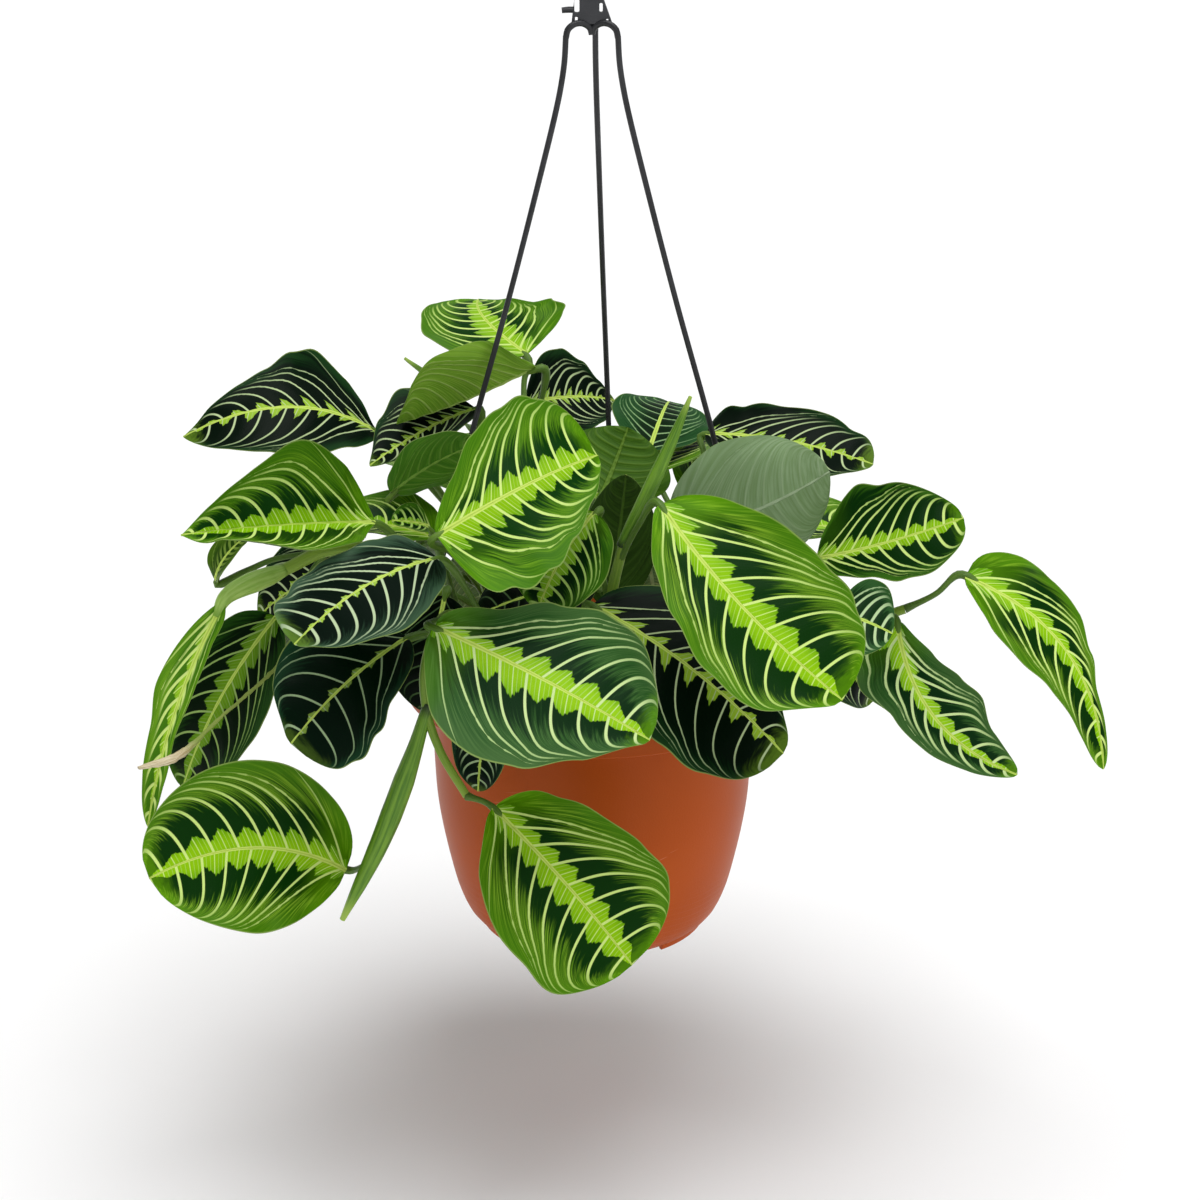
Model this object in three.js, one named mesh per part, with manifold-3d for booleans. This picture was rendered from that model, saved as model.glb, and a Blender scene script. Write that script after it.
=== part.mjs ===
// A prayer plant (maranta) with lime midrib bands, growing in a terracotta-coloured plastic pot
// that hangs from a black moulded hanger of three strands.
// Millimetres, +Z up. The origin is the point where the hook bears on whatever holds it.
// The pot and the plant stand in a group of their own, whose origin is the centre of the pot's rim.
import * as THREE from 'three';
import { mergeVertices } from 'three/addons/utils/BufferGeometryUtils.js';
import Module from 'manifold-3d';

const wasm = await Module();
wasm.setup();

const GAP = 0.4;                // clearance between pieces that touch

// Pot, from the rim down
const RIM_DROP = 315;           // hook's bearing point above the rim
const RIM_RADIUS = 75;
const COLLAR_HEIGHT = 12;
const POT_WALL = 1.5;
const POT_DEPTH = 110;
const POT_SIDES = 28;
const SOIL_SIDES = 18;
const FOOT_HEIGHT = 2.6;
const FOOT_RADIUS = 46.5;
const FOOT_NOTCHES = 6;
const NOTCH_WIDTH = 12;
const DRAIN_RADIUS = 3.5;
const DRAIN_CIRCLE = 33;
const SLOT_RADIUS = 71;         // where the strands go through the flange
const SLOT_SIZE = [3.6, 4.6];   // across the flange, along the flange

// Soil
const SOIL_TOP = -15;
const SOIL_LUMP = 2.2;

// Hanger
const STRAND_RADIUS = 1.15;
const STRAND_ANGLES = { strand_left: 198, strand_right: 342, strand_back: 83 };
const STRAND_LINE = [           // distance from the axis, height above the rim
  [10.2, 249.6], [10.8, 240], [12.2, 231], [14.4, 221], [22.6, 190], [33.4, 151], [51, 91], [66, 30],
  [70.6, 8], [SLOT_RADIUS, 2], [SLOT_RADIUS, -3],
];
const FOOT_BAR = [2.6, 8.5, 2]; // T-end of a strand under the flange
const PLATE_SIZE = [15.4, 2.6, 17];
const PLATE_BOTTOM = 253.6;
const PLATE_SHOULDER = 1.6;     // the right end of the plate's top, from its middle
const PLATE_HOLES = [           // middle across, middle up, width, height
  [-5.4, 260.4, 1.9, 5.2], [-5.6, 255.5, 1, 1.7], [3, 259.7, 1.3, 3.5], [5.6, 255.5, 1, 1.4],
];
const HOOK_INNER = 12;
const HOOK_WIRE = 2.6;

// Plant
const BLADE_THICKNESS = 0.8;
const BLADE_COLUMNS = 4;
const EDGE_DROOP = 8;           // degrees that a blade's half bends more at its edge
const EDGE_WAVE = 0.02;         // height of the wave along a blade's edge over its width
const END_HALF = 0.7;           // half of a blade's width at its two ends
const STALK_RADIUS = 1.25;
const KNEE_RADIUS = 1.75;       // the swollen joint between leaf stalk and blade
const STEM_SIDES = 5;
const LONG_STALK = 30;
const SMALL_BLADE = 52;         // blades narrower than this have fewer facets

// Stems: points from inside the soil to the growing end, and the radius at each end.
// A bud is the rolled young leaf that a stem ends in, or carries on the way. A leafy stem is one
// piece with all its leaves.
const STEMS = {
  front_left: {
    points: [[-14, -26, -34], [-21, -36, -8], [-38, -60, 32], [-55, -80, 48], [-62, -86, 32],
      [-62, -87, 15], [-57, -89, -2], [-47, -93, -19]],
    radius: [2.4, 1.5],
    bud: {
      points: [[-61, -87, 16], [-67, -88, -4], [-80, -86, -40], [-96, -84, -75]],
      radius: [2.2, 4.1, 3.4, 1.2],
    },
  },
  front: {
    points: [[12, -24, -34], [12, -38, 0], [7, -58, 44], [12, -64, 72]],
    radius: [2.2, 1.9],
    bud: {
      points: [[11, -63.5, 70], [20, -66, 90], [30, -68, 114], [36, -70, 130]],
      radius: [2.1, 2.7, 2.5, 1.0],
    },
  },
  centre: { points: [[-6, -6, -34], [-8, -12, 6], [-14, -26, 44], [-22, -40, 60]], radius: [2.4, 1.8] },
  left: {
    points: [[-36, -12, -34], [-44, -16, -4], [-58, -29, 36], [-80, -32, 56], [-101, -34, 58],
      [-118, -37, 51]],
    radius: [2.6, 2.4],
  },
  left_top: {
    points: [[-30, 10, -34], [-37, 10, 2], [-48, 6, 52], [-56, 3, 86]],
    radius: [2.5, 1.9],
    bud: {
      points: [[-55.5, 3, 84], [-58, 22, 97], [-64, 30, 107], [-75, 34, 115]],
      radius: [1.7, 1.9, 1.6, 0.8],
    },
  },
  top: { points: [[-8, 16, -34], [-10, 18, 14], [-19, 18, 62], [-27, 14, 97]], radius: [2.5, 1.8] },
  right_top: { points: [[22, 20, -34], [27, 20, 4], [38, 12, 46], [46, 6, 72]], radius: [2.5, 1.8] },
  right: {
    points: [[36, -8, -34], [46, -14, -4], [63, -34, 26], [86, -42, 30], [108, -43, 33], [120, -43, 37]],
    radius: [2.6, 1.8],
  },
  back: {
    points: [[-4, 40, -34], [-5, 48, 0], [-6, 60, 26], [-4, 76, 34]], radius: [2.5, 1.8], leafy: true,
  },
  back_left: {
    points: [[-34, 34, -34], [-42, 42, 0], [-52, 52, 26], [-62, 60, 32]], radius: [2.5, 1.8], leafy: true,
  },
  back_right: {
    points: [[34, 36, -34], [42, 42, 0], [52, 50, 24], [62, 58, 30]], radius: [2.5, 1.8], leafy: true,
  },
};

const DRY_STALK = {
  points: [[-106, -44, 36], [-114, -56, 26], [-122, -64, 19], [-139, -80, 8], [-154, -100, 0],
    [-167, -108, -1]],
  radius: [0.9, 0.9, 0.9, 0.9, 1.8, 1],
};

// Leaves. base and tip: the two ends of the midrib. face: the way the upper side looks.
// width: across the flat blade. fold: degrees that each half rises from flat. arch: rise of the
// midrib's middle over its length. bow: how far the midrib bends to the right, over its length.
// broad: how far along it is broadest. blunt: below 0.6 its ends are rounder, above it they are
// more pointed. left, right: how broad that half is, evenly spread from stalk to tip.
// stem, at: the stem that carries it, and how far along that is. via: points its stalk passes.
const LEAVES = {
  // In front of the pot
  leaf_front_high: {
    base: [-56, -98, 86], tip: [2, -62, 105], face: [3, -7, 7], width: 64, fold: -4, arch: 0.1,
    broad: 0.55, blunt: 0.5, left: [0.6, 0.68, 0.85, 0.95, 1.15, 1.6],
    right: [2.6, 1.5, 1.1, 0.82, 0.62, 0.45], stem: 'centre', at: 0.98, via: [[-44, -70, 70]],
  },
  leaf_front_middle: {
    base: [-58, -98, 51], tip: [21, -124, 17], face: [0, -7, 7], width: 66, fold: -4, arch: 0.05,
    blunt: 0.5, left: [0.65, 0.6, 0.85, 1.05, 1.2, 1.1], right: [0.9, 1.2, 1.2, 1.1, 0.85, 0.4],
    stem: 'front_left', at: 0.56,
  },
  leaf_front_right: {
    base: [25, -80, 92], tip: [90, -125, 33], face: [1, -8, 6], width: 66, fold: -3, arch: 0.04,
    bow: 0.05, blunt: 0.5, left: [1, 0.95, 1, 1.05, 1.25, 1.6], right: [0.4, 0.6, 0.7, 0.85, 1, 0.6],
    stem: 'front', at: 0.93, via: [[17, -70, 80]],
  },
  leaf_front_low: {
    base: [-37, -99, -21], tip: [15, -114, -79], face: [3, -9, 5], width: 66, fold: 5, arch: 0.08,
    broad: 0.56, blunt: 0.48, left: [1.3, 0.95, 0.9, 0.95, 1.1, 1.3],
    right: [0.8, 1.1, 1.1, 1.05, 1.2, 1], stem: 'front_left', at: 1,
  },
  leaf_front_under: {
    base: [0, -68, 48], tip: [71, -97, 0], face: [3, -6, 7], width: 62, fold: -7, arch: 0.08,
    blunt: 0.52, left: [1, 1, 1, 0.9, 0.8, 0.75], right: [1, 1, 1.1, 1.15, 1.4, 1.8], stem: 'front',
    at: 0.5,
  },
  leaf_front_inner: {
    base: [1, -66, 84], tip: [-20, -80, 50], face: [-5, -6, 5], width: 48, fold: -3, arch: 0.08,
    stem: 'front', at: 0.72, via: [[1, -59, 76]],
  },
  leaf_front_shade: {
    base: [1, -47, 48], tip: [-44, -54, 38], face: [0, -4, 9], width: 38, fold: 0, arch: 0.08,
    stem: 'centre', at: 0.75,
  },
  leaf_pot_front: {
    base: [-37, -84, 22], tip: [-43, -84, -21], face: [-3, -9, 2], width: 24, fold: 10, arch: 0.06,
    stem: 'front_left', at: 0.38,
  },
  // Left
  leaf_left_low: {
    base: [-95, -74, -59], tip: [-165, -110, -45], face: [5, -8, 5], width: 67, fold: 4, arch: 0.05,
    bow: 0.12, broad: 0.52, blunt: 0.45, stem: 'front_left', onBud: 0.72,
  },
  leaf_left_front: {
    base: [-57, -80, 71], tip: [-107, -114, 50], face: [-1, -3, 10], width: 62, fold: -3, arch: 0.1,
    left: [0.9, 0.95, 1.05, 1.15, 1.1, 0.8], right: [1.4, 0.9, 0.66, 0.76, 0.95, 1.8],
    stem: 'front_left', at: 0.4,
  },
  leaf_left_hang: {
    base: [-69, -76, 38], tip: [-111, -102, 6], face: [-3, -6, 7], width: 58, fold: 2, arch: 0.08,
    broad: 0.52, blunt: 0.52, left: [0.8, 0.8, 0.8, 1.05, 1.4, 2], right: [0.9, 0.95, 1, 1, 0.95, 0.6],
    stem: 'front_left', at: 0.48,
  },
  leaf_left_bright: {
    base: [-83, -34, 69], tip: [-154, -60, 73], face: [2, -6, 8], width: 74, fold: 37, arch: 0.03,
    broad: 0.38, blunt: 1.1, left: [0.3, 1.1, 1.25, 1.1, 1.1], right: [0.8, 0.82, 0.88, 0.8, 0.8, 0.9],
    stem: 'left', at: 0.5,
  },
  leaf_left_dark: {
    base: [-84, 2, 94], tip: [-157, -20, 99], face: [1, -5, 8], width: 64, fold: -6, arch: 0.21,
    broad: 0.38, blunt: 0.8, left: [0.5, 0.6, 0.75, 0.85, 0.95, 1.2],
    right: [0.15, 0.85, 1, 0.85, 0.7, 0.65, 0.6, 0.3], stem: 'left_top', at: 0.7,
  },
  leaf_left_deep: {
    base: [-122, -38, 32], tip: [-160, -48, -36], face: [-5, -7, 4], width: 54, fold: 2, arch: 0.08,
    right: [1, 0.85, 0.8, 0.85, 1], stem: 'left', at: 0.88,
  },
  leaf_left_outer: {
    base: [-140, -54, 44], tip: [-168, -88, -34], face: [-1, -8, 2], width: 22, fold: 8, arch: 0.03,
    bow: 0.04, blunt: 0.7, left: [1, 0.5, 0.42, 0.3, 0.5, 0.7],
    right: [0.9, 0.95, 0.95, 0.7, 0.75, 0.9], sheath: true, stem: 'left', at: 1,
  },
  leaf_left_small: {
    base: [-146, -30, 44], tip: [-132, -31, 63], face: [-8, -6, 3], width: 15, fold: 16, arch: 0.12,
    stem: 'left', at: 0.9, via: [[-124, -29, 52]],
  },
  leaf_left_under: {
    base: [-56, -50, 45], tip: [-63, -58, 0], face: [-2, -9, 3], width: 38, fold: 0, arch: 0.08,
    stem: 'left', at: 0.5,
  },
  leaf_left_shade: {
    base: [-90, 8, 41], tip: [-134, 4, 16], face: [-3, -4, 8], width: 48, fold: 0, arch: 0.08,
    stem: 'left_top', at: 0.4,
  },
  // Upper left
  leaf_top: {
    base: [-26, 29, 118], tip: [-47, 76, 128], face: [-0.5, -1.5, 9.5], width: 60, fold: 0, arch: 0.08,
    bow: -0.13, blunt: 0.5, left: [1.1, 1.1, 1, 0.88, 0.8, 0.8],
    right: [1.5, 1.25, 0.95, 0.75, 0.62, 0.5], stem: 'top', at: 1, via: [[-27, 24, 109]],
  },
  leaf_top_folded: {
    base: [-22, 3, 120.5], tip: [-76, -6, 100], face: [0, 4, 9], width: 55, fold: 31, arch: -0.03,
    right: [0.4, 0.75, 0.9, 0.85, 0.9], stem: 'top', at: 0.92,
  },
  leaf_top_dark: {
    base: [-27, 62, 88], tip: [9, 82, 83], face: [2, -7, 7], width: 44, fold: 10, arch: 0.1,
    left: [0.9, 1.05, 0.95, 0.72, 0.5, 0.35], right: [1, 1, 0.75, 0.4], stem: 'top', at: 0.8,
  },
  leaf_top_jagged: {
    base: [-46, 11, 101], tip: [-86, -16, 86], face: [-1, -3, 9], width: 46, fold: 4, arch: 0.05,
    left: [0.5, 0.6, 0.7, 0.5], right: [1.2, 1.1, 0.8, 0.4], stem: 'left_top', at: 0.85,
  },
  leaf_top_pale: {
    base: [-76, -46, 85], tip: [-41, -42, 104], face: [-4, 7, 6], width: 38, fold: -4, arch: 0.06,
    stem: 'left_top', at: 0.5, via: [[-64, -24, 84]],
  },
  leaf_left_bud: {
    base: [-62, -50, 73], tip: [-75, -58, 78], face: [0, -6, 8], width: 16, fold: 20, arch: 0.05,
    stem: 'left', at: 0.3,
  },
  // Middle and upper right
  leaf_middle_olive: {
    base: [4, -14, 74], tip: [14, 2, 96], face: [1, 9, -4], width: 46, fold: 0, arch: 0.06,
    stem: 'centre', at: 0.6,
  },
  leaf_middle_deep: {
    base: [6, -40, 36], tip: [13, -27, 86], face: [2, 9, -2], width: 30, fold: 0, arch: 0.05,
    stem: 'centre', at: 0.7,
  },
  leaf_right_back: {
    base: [23, 42, 74], tip: [32, 90, 80], face: [2, -2, 10], width: 42, fold: -6, arch: 0.1,
    stem: 'right_top', at: 0.75,
  },
  leaf_right_top: {
    base: [45, 16, 89], tip: [110, -2, 82], face: [-1, -4, 9], width: 46, fold: 6, arch: 0.06,
    left: [1.5, 0.8, 0.7, 0.75, 0.8, 1.5], right: [1, 1, 1.1, 1.1, 1.2, 0.8], stem: 'right_top', at: 1,
    via: [[44, 12, 83]],
  },
  leaf_right_pale: {
    base: [30, -48, 68], tip: [90, -38, 91], face: [-2, 10, 2], width: 60, fold: 6, arch: -0.08,
    blunt: 0.5, left: [1, 1, 1.05, 1.15, 1.2, 1.1], stem: 'right_top', at: 0.6,
  },
  leaf_right_middle: {
    base: [86, -36, 55], tip: [140, -52, 77], face: [-4, -5, 8], width: 54, fold: 0, arch: 0.04,
    bow: 0.06, blunt: 0.48, left: [1.2, 1.15, 0.97, 0.95, 0.9],
    right: [0.3, 0.5, 0.62, 0.85, 1.1, 1.1], stem: 'right', at: 0.55,
  },
  leaf_right_under: {
    base: [78, -10, 26], tip: [112, -12, -14], face: [6, -6, 5], width: 48, fold: 2, arch: 0.1,
    stem: 'right', at: 0.62, via: [[74, -24, 31]],
  },
  leaf_right_small: {
    base: [91, -74, 48], tip: [112, -77, 40], face: [2, -7, 7], width: 34, fold: 4, arch: 0.05,
    stem: 'right', at: 0.72,
  },
  leaf_right_hang: {
    base: [116, -56, 37], tip: [161, -80, -16], face: [-2, -8, 4], width: 52, fold: -3, arch: 0.08,
    bow: 0.15, broad: 0.45, blunt: 0.5, left: [0.3, 0.5, 0.65, 0.75, 0.57, 0.5],
    right: [2.2, 0.9, 0.5, 0.45, 0.37, 0.3], stem: 'right', at: 0.86,
  },
  leaf_right_outer: {
    base: [143, -40, 49], tip: [196, -66, -20], face: [5, -6, 5], width: 46, fold: -8, arch: 0.1,
    bow: -0.13, broad: 0.42, left: [1.4, 1.2, 0.9, 0.8, 0.5, 0.25, 0.3, 0.4],
    right: [0.7, 0.9, 0.95, 0.8, 0.8, 0.9], stem: 'right', at: 1, via: [[132, -42, 43]],
  },
  // Behind
  leaf_back_middle: {
    base: [0, 77, 40], tip: [-4, 144, 32], face: [0, 2, 10], width: 62, fold: 4, arch: 0.1,
    stem: 'back', at: 0.7,
  },
  leaf_back_right: {
    base: [44, 54, 48], tip: [84, 112, 46], face: [1, 1, 10], width: 60, fold: 4, arch: 0.1,
    stem: 'back_right', at: 0.7,
  },
  leaf_back_left: {
    base: [-42, 54, 50], tip: [-84, 112, 48], face: [-1, 1, 10], width: 60, fold: 4, arch: 0.1,
    stem: 'back_left', at: 0.7,
  },
  leaf_back_right_side: {
    base: [66, 36, 36], tip: [130, 66, 26], face: [2, 1, 9], width: 58, fold: 4, arch: 0.1,
    stem: 'back_right', at: 0.6,
  },
  leaf_back_left_side: {
    base: [-64, 36, 38], tip: [-128, 66, 26], face: [-2, 1, 9], width: 58, fold: 4, arch: 0.1,
    stem: 'back_left', at: 0.6,
  },
  leaf_back_inner_right: {
    base: [20, 44, 62], tip: [54, 82, 68], face: [0, 1, 10], width: 50, fold: 4, arch: 0.1,
    stem: 'back_right', at: 0.72, via: [[38, 44, 40]],
  },
  leaf_back_inner_left: {
    base: [-16, 48, 62], tip: [-46, 90, 70], face: [0, 1, 10], width: 50, fold: 4, arch: 0.1,
    stem: 'back_left', at: 0.72, via: [[-36, 46, 42]],
  },
  leaf_back_side_low_right: {
    base: [86, 20, 28], tip: [122, 34, -16], face: [8, 3, 4], width: 50, fold: 4, arch: 0.1,
    stem: 'back_right', at: 0.64, via: [[70, 28, 30]],
  },
  leaf_back_side_low_left: {
    base: [-88, 24, 28], tip: [-124, 40, -24], face: [-8, 3, 4], width: 50, fold: 4, arch: 0.1,
    stem: 'back_left', at: 0.64, via: [[-72, 32, 30]],
  },
  leaf_back_low_right: {
    base: [20, 88, 26], tip: [32, 112, -52], face: [1, 9, 3], width: 60, fold: 4, arch: 0.08,
    stem: 'back', at: 1,
  },
  leaf_back_low_left: {
    base: [-26, 88, 24], tip: [-44, 116, -48], face: [-2, 9, 3], width: 58, fold: 4, arch: 0.08,
    stem: 'back', at: 0.9,
  },
  leaf_back_hang_right: {
    base: [68, 70, 24], tip: [94, 98, -40], face: [6, 7, 3], width: 58, fold: 4, arch: 0.08,
    stem: 'back_right', at: 1,
  },
  leaf_back_hang_left: {
    base: [-70, 68, 26], tip: [-102, 92, -34], face: [-6, 7, 3], width: 58, fold: 4, arch: 0.08,
    stem: 'back_left', at: 1,
  },
};

const vector = ([x, y, z]) => new THREE.Vector3(x, y, z);
const radians = THREE.MathUtils.degToRad;

// One closed skin through rings of points that all have the same number of points.
// Both ends are closed with a fan of triangles round the ring's middle.
function skinThrough(rings) {
  const count = rings[0].length;
  const positions = rings.flat().flatMap((p) => [p.x, p.y, p.z]);
  const faces = [];
  for (let ring = 0; ring < rings.length - 1; ring += 1) {
    for (let i = 0; i < count; i += 1) {
      const a = ring * count + i;
      const b = ring * count + ((i + 1) % count);
      faces.push(a, b, b + count, a, b + count, a + count);
    }
  }
  for (const [ring, reversed] of [[0, true], [rings.length - 1, false]]) {
    const centre = rings[ring].reduce((sum, p) => sum.add(p), new THREE.Vector3()).divideScalar(count);
    const apex = positions.length / 3;
    positions.push(centre.x, centre.y, centre.z);
    for (let i = 0; i < count; i += 1) {
      const a = ring * count + i;
      const b = ring * count + ((i + 1) % count);
      faces.push(...(reversed ? [b, a, apex] : [a, b, apex]));
    }
  }
  const geometry = new THREE.BufferGeometry();
  geometry.setAttribute('position', new THREE.Float32BufferAttribute(positions, 3));
  geometry.setIndex(faces);
  return geometry;
}

// A round stalk along a smooth line through the points. Its radius runs smoothly through radii.
// grow makes it larger all round, ends included.
function stalkAlong(points, radii, sides, steps, grow = 0) {
  const line = new THREE.CatmullRomCurve3(points, false, 'centripetal');
  const frames = line.computeFrenetFrames(steps, false);
  const rings = [];
  for (let step = 0; step <= steps; step += 1) {
    const along = step / steps;
    const slot = Math.min(along * (radii.length - 1), radii.length - 1.001);
    const first = Math.floor(slot);
    const radius = THREE.MathUtils.lerp(radii[first], radii[first + 1], slot - first) + grow;
    const centre = line.getPointAt(along);
    if (step === 0) centre.addScaledVector(frames.tangents[0], -grow);
    if (step === steps) centre.addScaledVector(frames.tangents[steps], grow);
    rings.push(Array.from({ length: sides }, (_, i) => {
      const angle = (i / sides) * Math.PI * 2;
      return centre.clone()
        .addScaledVector(frames.normals[step], Math.cos(angle) * radius)
        .addScaledVector(frames.binormals[step], Math.sin(angle) * radius);
    }));
  }
  return skinThrough(rings);
}

// A geometry as a solid that can be cut and joined, and back
function solidOf(geometry) {
  const plain = geometry.clone();
  plain.deleteAttribute('normal');
  plain.deleteAttribute('uv');
  const merged = mergeVertices(plain, 1e-4);
  return new wasm.Manifold(new wasm.Mesh({
    numProp: 3,
    vertProperties: Float32Array.from(merged.attributes.position.array),
    triVerts: Uint32Array.from(merged.index.array),
  }));
}

function meshOf(solid, name, material) {
  const { vertProperties, triVerts } = solid.getMesh();
  const geometry = new THREE.BufferGeometry();
  geometry.setAttribute('position', new THREE.BufferAttribute(Float32Array.from(vertProperties), 3));
  geometry.setIndex(new THREE.BufferAttribute(Uint32Array.from(triVerts), 1));
  geometry.computeVertexNormals();
  const mesh = new THREE.Mesh(geometry, material);
  mesh.name = name;
  return mesh;
}

// The largest body of a solid, without the slivers that a cut leaves
function largestOf(solid) {
  return solid.decompose().reduce((best, body) => (body.volume() > best.volume() ? body : best));
}

const block = (size, centre) => solidOf(new THREE.BoxGeometry(...size).translate(...centre));

// Pot: one moulded shell. The profile runs down the outside from the rim and back up inside.
function makePot() {
  const outside = [
    [65.6, -POT_WALL - 0.4], [65.2, -15], [64.4, -35], [62.9, -60], [58.3, -85], [54.8, -98],
    [51, -106], [47.5, -POT_DEPTH + 0.6],
  ];
  const inside = outside.slice(0, -1).reverse().map(([r, z]) => [r - POT_WALL, Math.max(z, -POT_DEPTH + 4)]);
  const profile = [
    [0, -POT_DEPTH], [FOOT_RADIUS - 3, -POT_DEPTH], [FOOT_RADIUS - 2.6, -POT_DEPTH - FOOT_HEIGHT],
    [FOOT_RADIUS - 0.4, -POT_DEPTH - FOOT_HEIGHT], [FOOT_RADIUS, -POT_DEPTH],
    ...outside.slice().reverse(),
    [RIM_RADIUS - POT_WALL, -POT_WALL - 0.4], [RIM_RADIUS - POT_WALL, -COLLAR_HEIGHT],
    [RIM_RADIUS, -COLLAR_HEIGHT], [RIM_RADIUS, -0.8], [RIM_RADIUS - 0.8, 0], [64.6, 0],
    ...inside.slice().reverse().slice(1),
    [46, -POT_DEPTH + 2], [0, -POT_DEPTH + 2],
  ];
  const points = profile.map(([r, z]) => new THREE.Vector2(r, z));
  let pot = solidOf(new THREE.LatheGeometry(points, POT_SIDES).rotateX(Math.PI / 2));
  for (let i = 0; i < FOOT_NOTCHES; i += 1) {
    const turn = (i / FOOT_NOTCHES) * 360;
    const notch = block([12, NOTCH_WIDTH, FOOT_HEIGHT], [FOOT_RADIUS, 0, -POT_DEPTH - FOOT_HEIGHT / 2 - 0.2]);
    const drain = new THREE.CylinderGeometry(DRAIN_RADIUS, DRAIN_RADIUS, 8, 8).rotateX(Math.PI / 2);
    pot = pot.subtract(notch.rotate([0, 0, turn]));
    pot = pot.subtract(solidOf(drain.translate(DRAIN_CIRCLE, 0, -POT_DEPTH)).rotate([0, 0, turn + 30]));
  }
  for (const angle of Object.values(STRAND_ANGLES)) {
    const slot = block([...SLOT_SIZE, 4], [SLOT_RADIUS, 0, -1]);
    pot = pot.subtract(slot.rotate([0, 0, angle]));
  }
  return pot;
}

// Soil: fills the pot to a little under the rim, with a lumpy top
function soilHeight(x, y) {
  return SOIL_TOP + SOIL_LUMP * (Math.sin(x * 0.19 + 1.3) * Math.cos(y * 0.16)
    + 0.5 * Math.sin(x * 0.41 - y * 0.33));
}

function makeSoil(stems) {
  const wall = POT_WALL + GAP * 1.5;
  const profile = [
    [0, -POT_DEPTH + 2 + GAP], [44, -POT_DEPTH + 2 + GAP], [51 - wall, -POT_DEPTH + 5.6],
    [54.8 - wall, -98], [58.3 - wall, -85], [62.9 - wall, -60], [64.4 - wall, -35],
    [65 - wall, SOIL_TOP], [50, SOIL_TOP], [34, SOIL_TOP], [17, SOIL_TOP], [0, SOIL_TOP],
  ];
  const points = profile.map(([r, z]) => new THREE.Vector2(r, z));
  const geometry = new THREE.LatheGeometry(points, SOIL_SIDES).rotateX(Math.PI / 2);
  const place = geometry.attributes.position;
  for (let i = 0; i < place.count; i += 1) {
    if (place.getZ(i) > SOIL_TOP - 0.01) place.setZ(i, soilHeight(place.getX(i), place.getY(i)));
  }
  let soil = solidOf(geometry);
  for (const stem of stems) soil = soil.subtract(stem);
  return soil;
}

// Strand of the hanger: a thin bar from the hub to a T-end under the pot's flange
function makeStrand(angle) {
  const points = STRAND_LINE.map(([r, z]) => new THREE.Vector3(r, 0, z));
  const bar = solidOf(stalkAlong(points, [STRAND_RADIUS, STRAND_RADIUS], STEM_SIDES, 14));
  const end = block(FOOT_BAR, [SLOT_RADIUS, 0, -POT_WALL - 0.8 - FOOT_BAR[2] / 2 - GAP]);
  return bar.add(end).rotate([0, 0, angle]);
}

// Hub and hook: a slotted plate over three short arms, and an open hook on a neck
function makeHookHead() {
  const [width, depth, height] = PLATE_SIZE;
  const outline = new THREE.Shape();
  outline.moveTo(-width / 2, 0);
  outline.lineTo(width / 2, 0);
  outline.lineTo(PLATE_SHOULDER, height);
  outline.lineTo(-width / 4, height);
  outline.quadraticCurveTo(-width / 2, height, -width / 2, height * 0.75);
  const plate = new THREE.ExtrudeGeometry(outline, { depth, bevelEnabled: false, curveSegments: 4 });
  let head = solidOf(plate.rotateX(Math.PI / 2).translate(0, depth / 2, PLATE_BOTTOM));
  for (const [x, z, wide, high] of PLATE_HOLES) {
    head = head.subtract(block([wide, 6, high], [x, 0, z]));
  }
  const [strandOut, strandTop] = STRAND_LINE[0];
  const armLine = [
    [0, 0, strandTop + 4.5], [4, 0, strandTop + 4.5], [8.4, 0, strandTop + 3.2],
    [strandOut, 0, strandTop + 1.2], [strandOut, 0, strandTop + GAP],
  ].map(vector);
  for (const angle of Object.values(STRAND_ANGLES)) {
    head = head.add(solidOf(stalkAlong(armLine, [1.7, 1.5], 6, 5)).rotate([0, 0, angle]));
  }
  const centre = RIM_DROP - HOOK_INNER;
  const turn = HOOK_INNER + HOOK_WIRE;
  const line = [[0, 0, 265], [0, 0, 279], [5, 0, 286.5]].map(vector);
  for (let angle = -45; angle <= 200; angle += 24.5) {
    const [across, rise] = [Math.cos(radians(angle)), Math.sin(radians(angle))];
    line.push(new THREE.Vector3(turn * across, 0, centre + turn * rise));
  }
  line.push(new THREE.Vector3(-turn - 2.2, 0, centre - 10));
  return head.add(solidOf(stalkAlong(line, [2.2, HOOK_WIRE, HOOK_WIRE, HOOK_WIRE, 1.9], 6, 22)));
}

// The line that a stem, or its rolled young leaf, grows along
function growingLine({ points }) {
  return new THREE.CatmullRomCurve3(points.map(vector), false, 'centripetal');
}

// Stem, with its rolled young leaf where it has one. grow makes it thicker all round.
function makeStem(stem, grow = 0) {
  const steps = stem.points.length * 2;
  const solid = solidOf(stalkAlong(stem.points.map(vector), stem.radius, STEM_SIDES, steps, grow));
  if (!stem.bud) return solid;
  const bud = stalkAlong(stem.bud.points.map(vector), stem.bud.radius, STEM_SIDES, 8, grow);
  return solid.add(solidOf(bud));
}

// Half the blade's width over its length, where 1 is the broadest
function bladeForm(leaf, u) {
  const skew = Math.log(0.5) / Math.log(leaf.broad ?? 0.47);
  return Math.sin(Math.PI * u ** skew) ** (leaf.blunt ?? 0.6);
}

// The value at u of a list that is spread evenly from the stalk to the tip, with soft changes
function shareAt(shares, u) {
  const slot = Math.min(u * (shares.length - 1), shares.length - 1.001);
  const first = Math.floor(slot);
  const part = THREE.MathUtils.smoothstep(slot - first, 0, 1);
  return THREE.MathUtils.lerp(shares[first], shares[first + 1], part);
}

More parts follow.
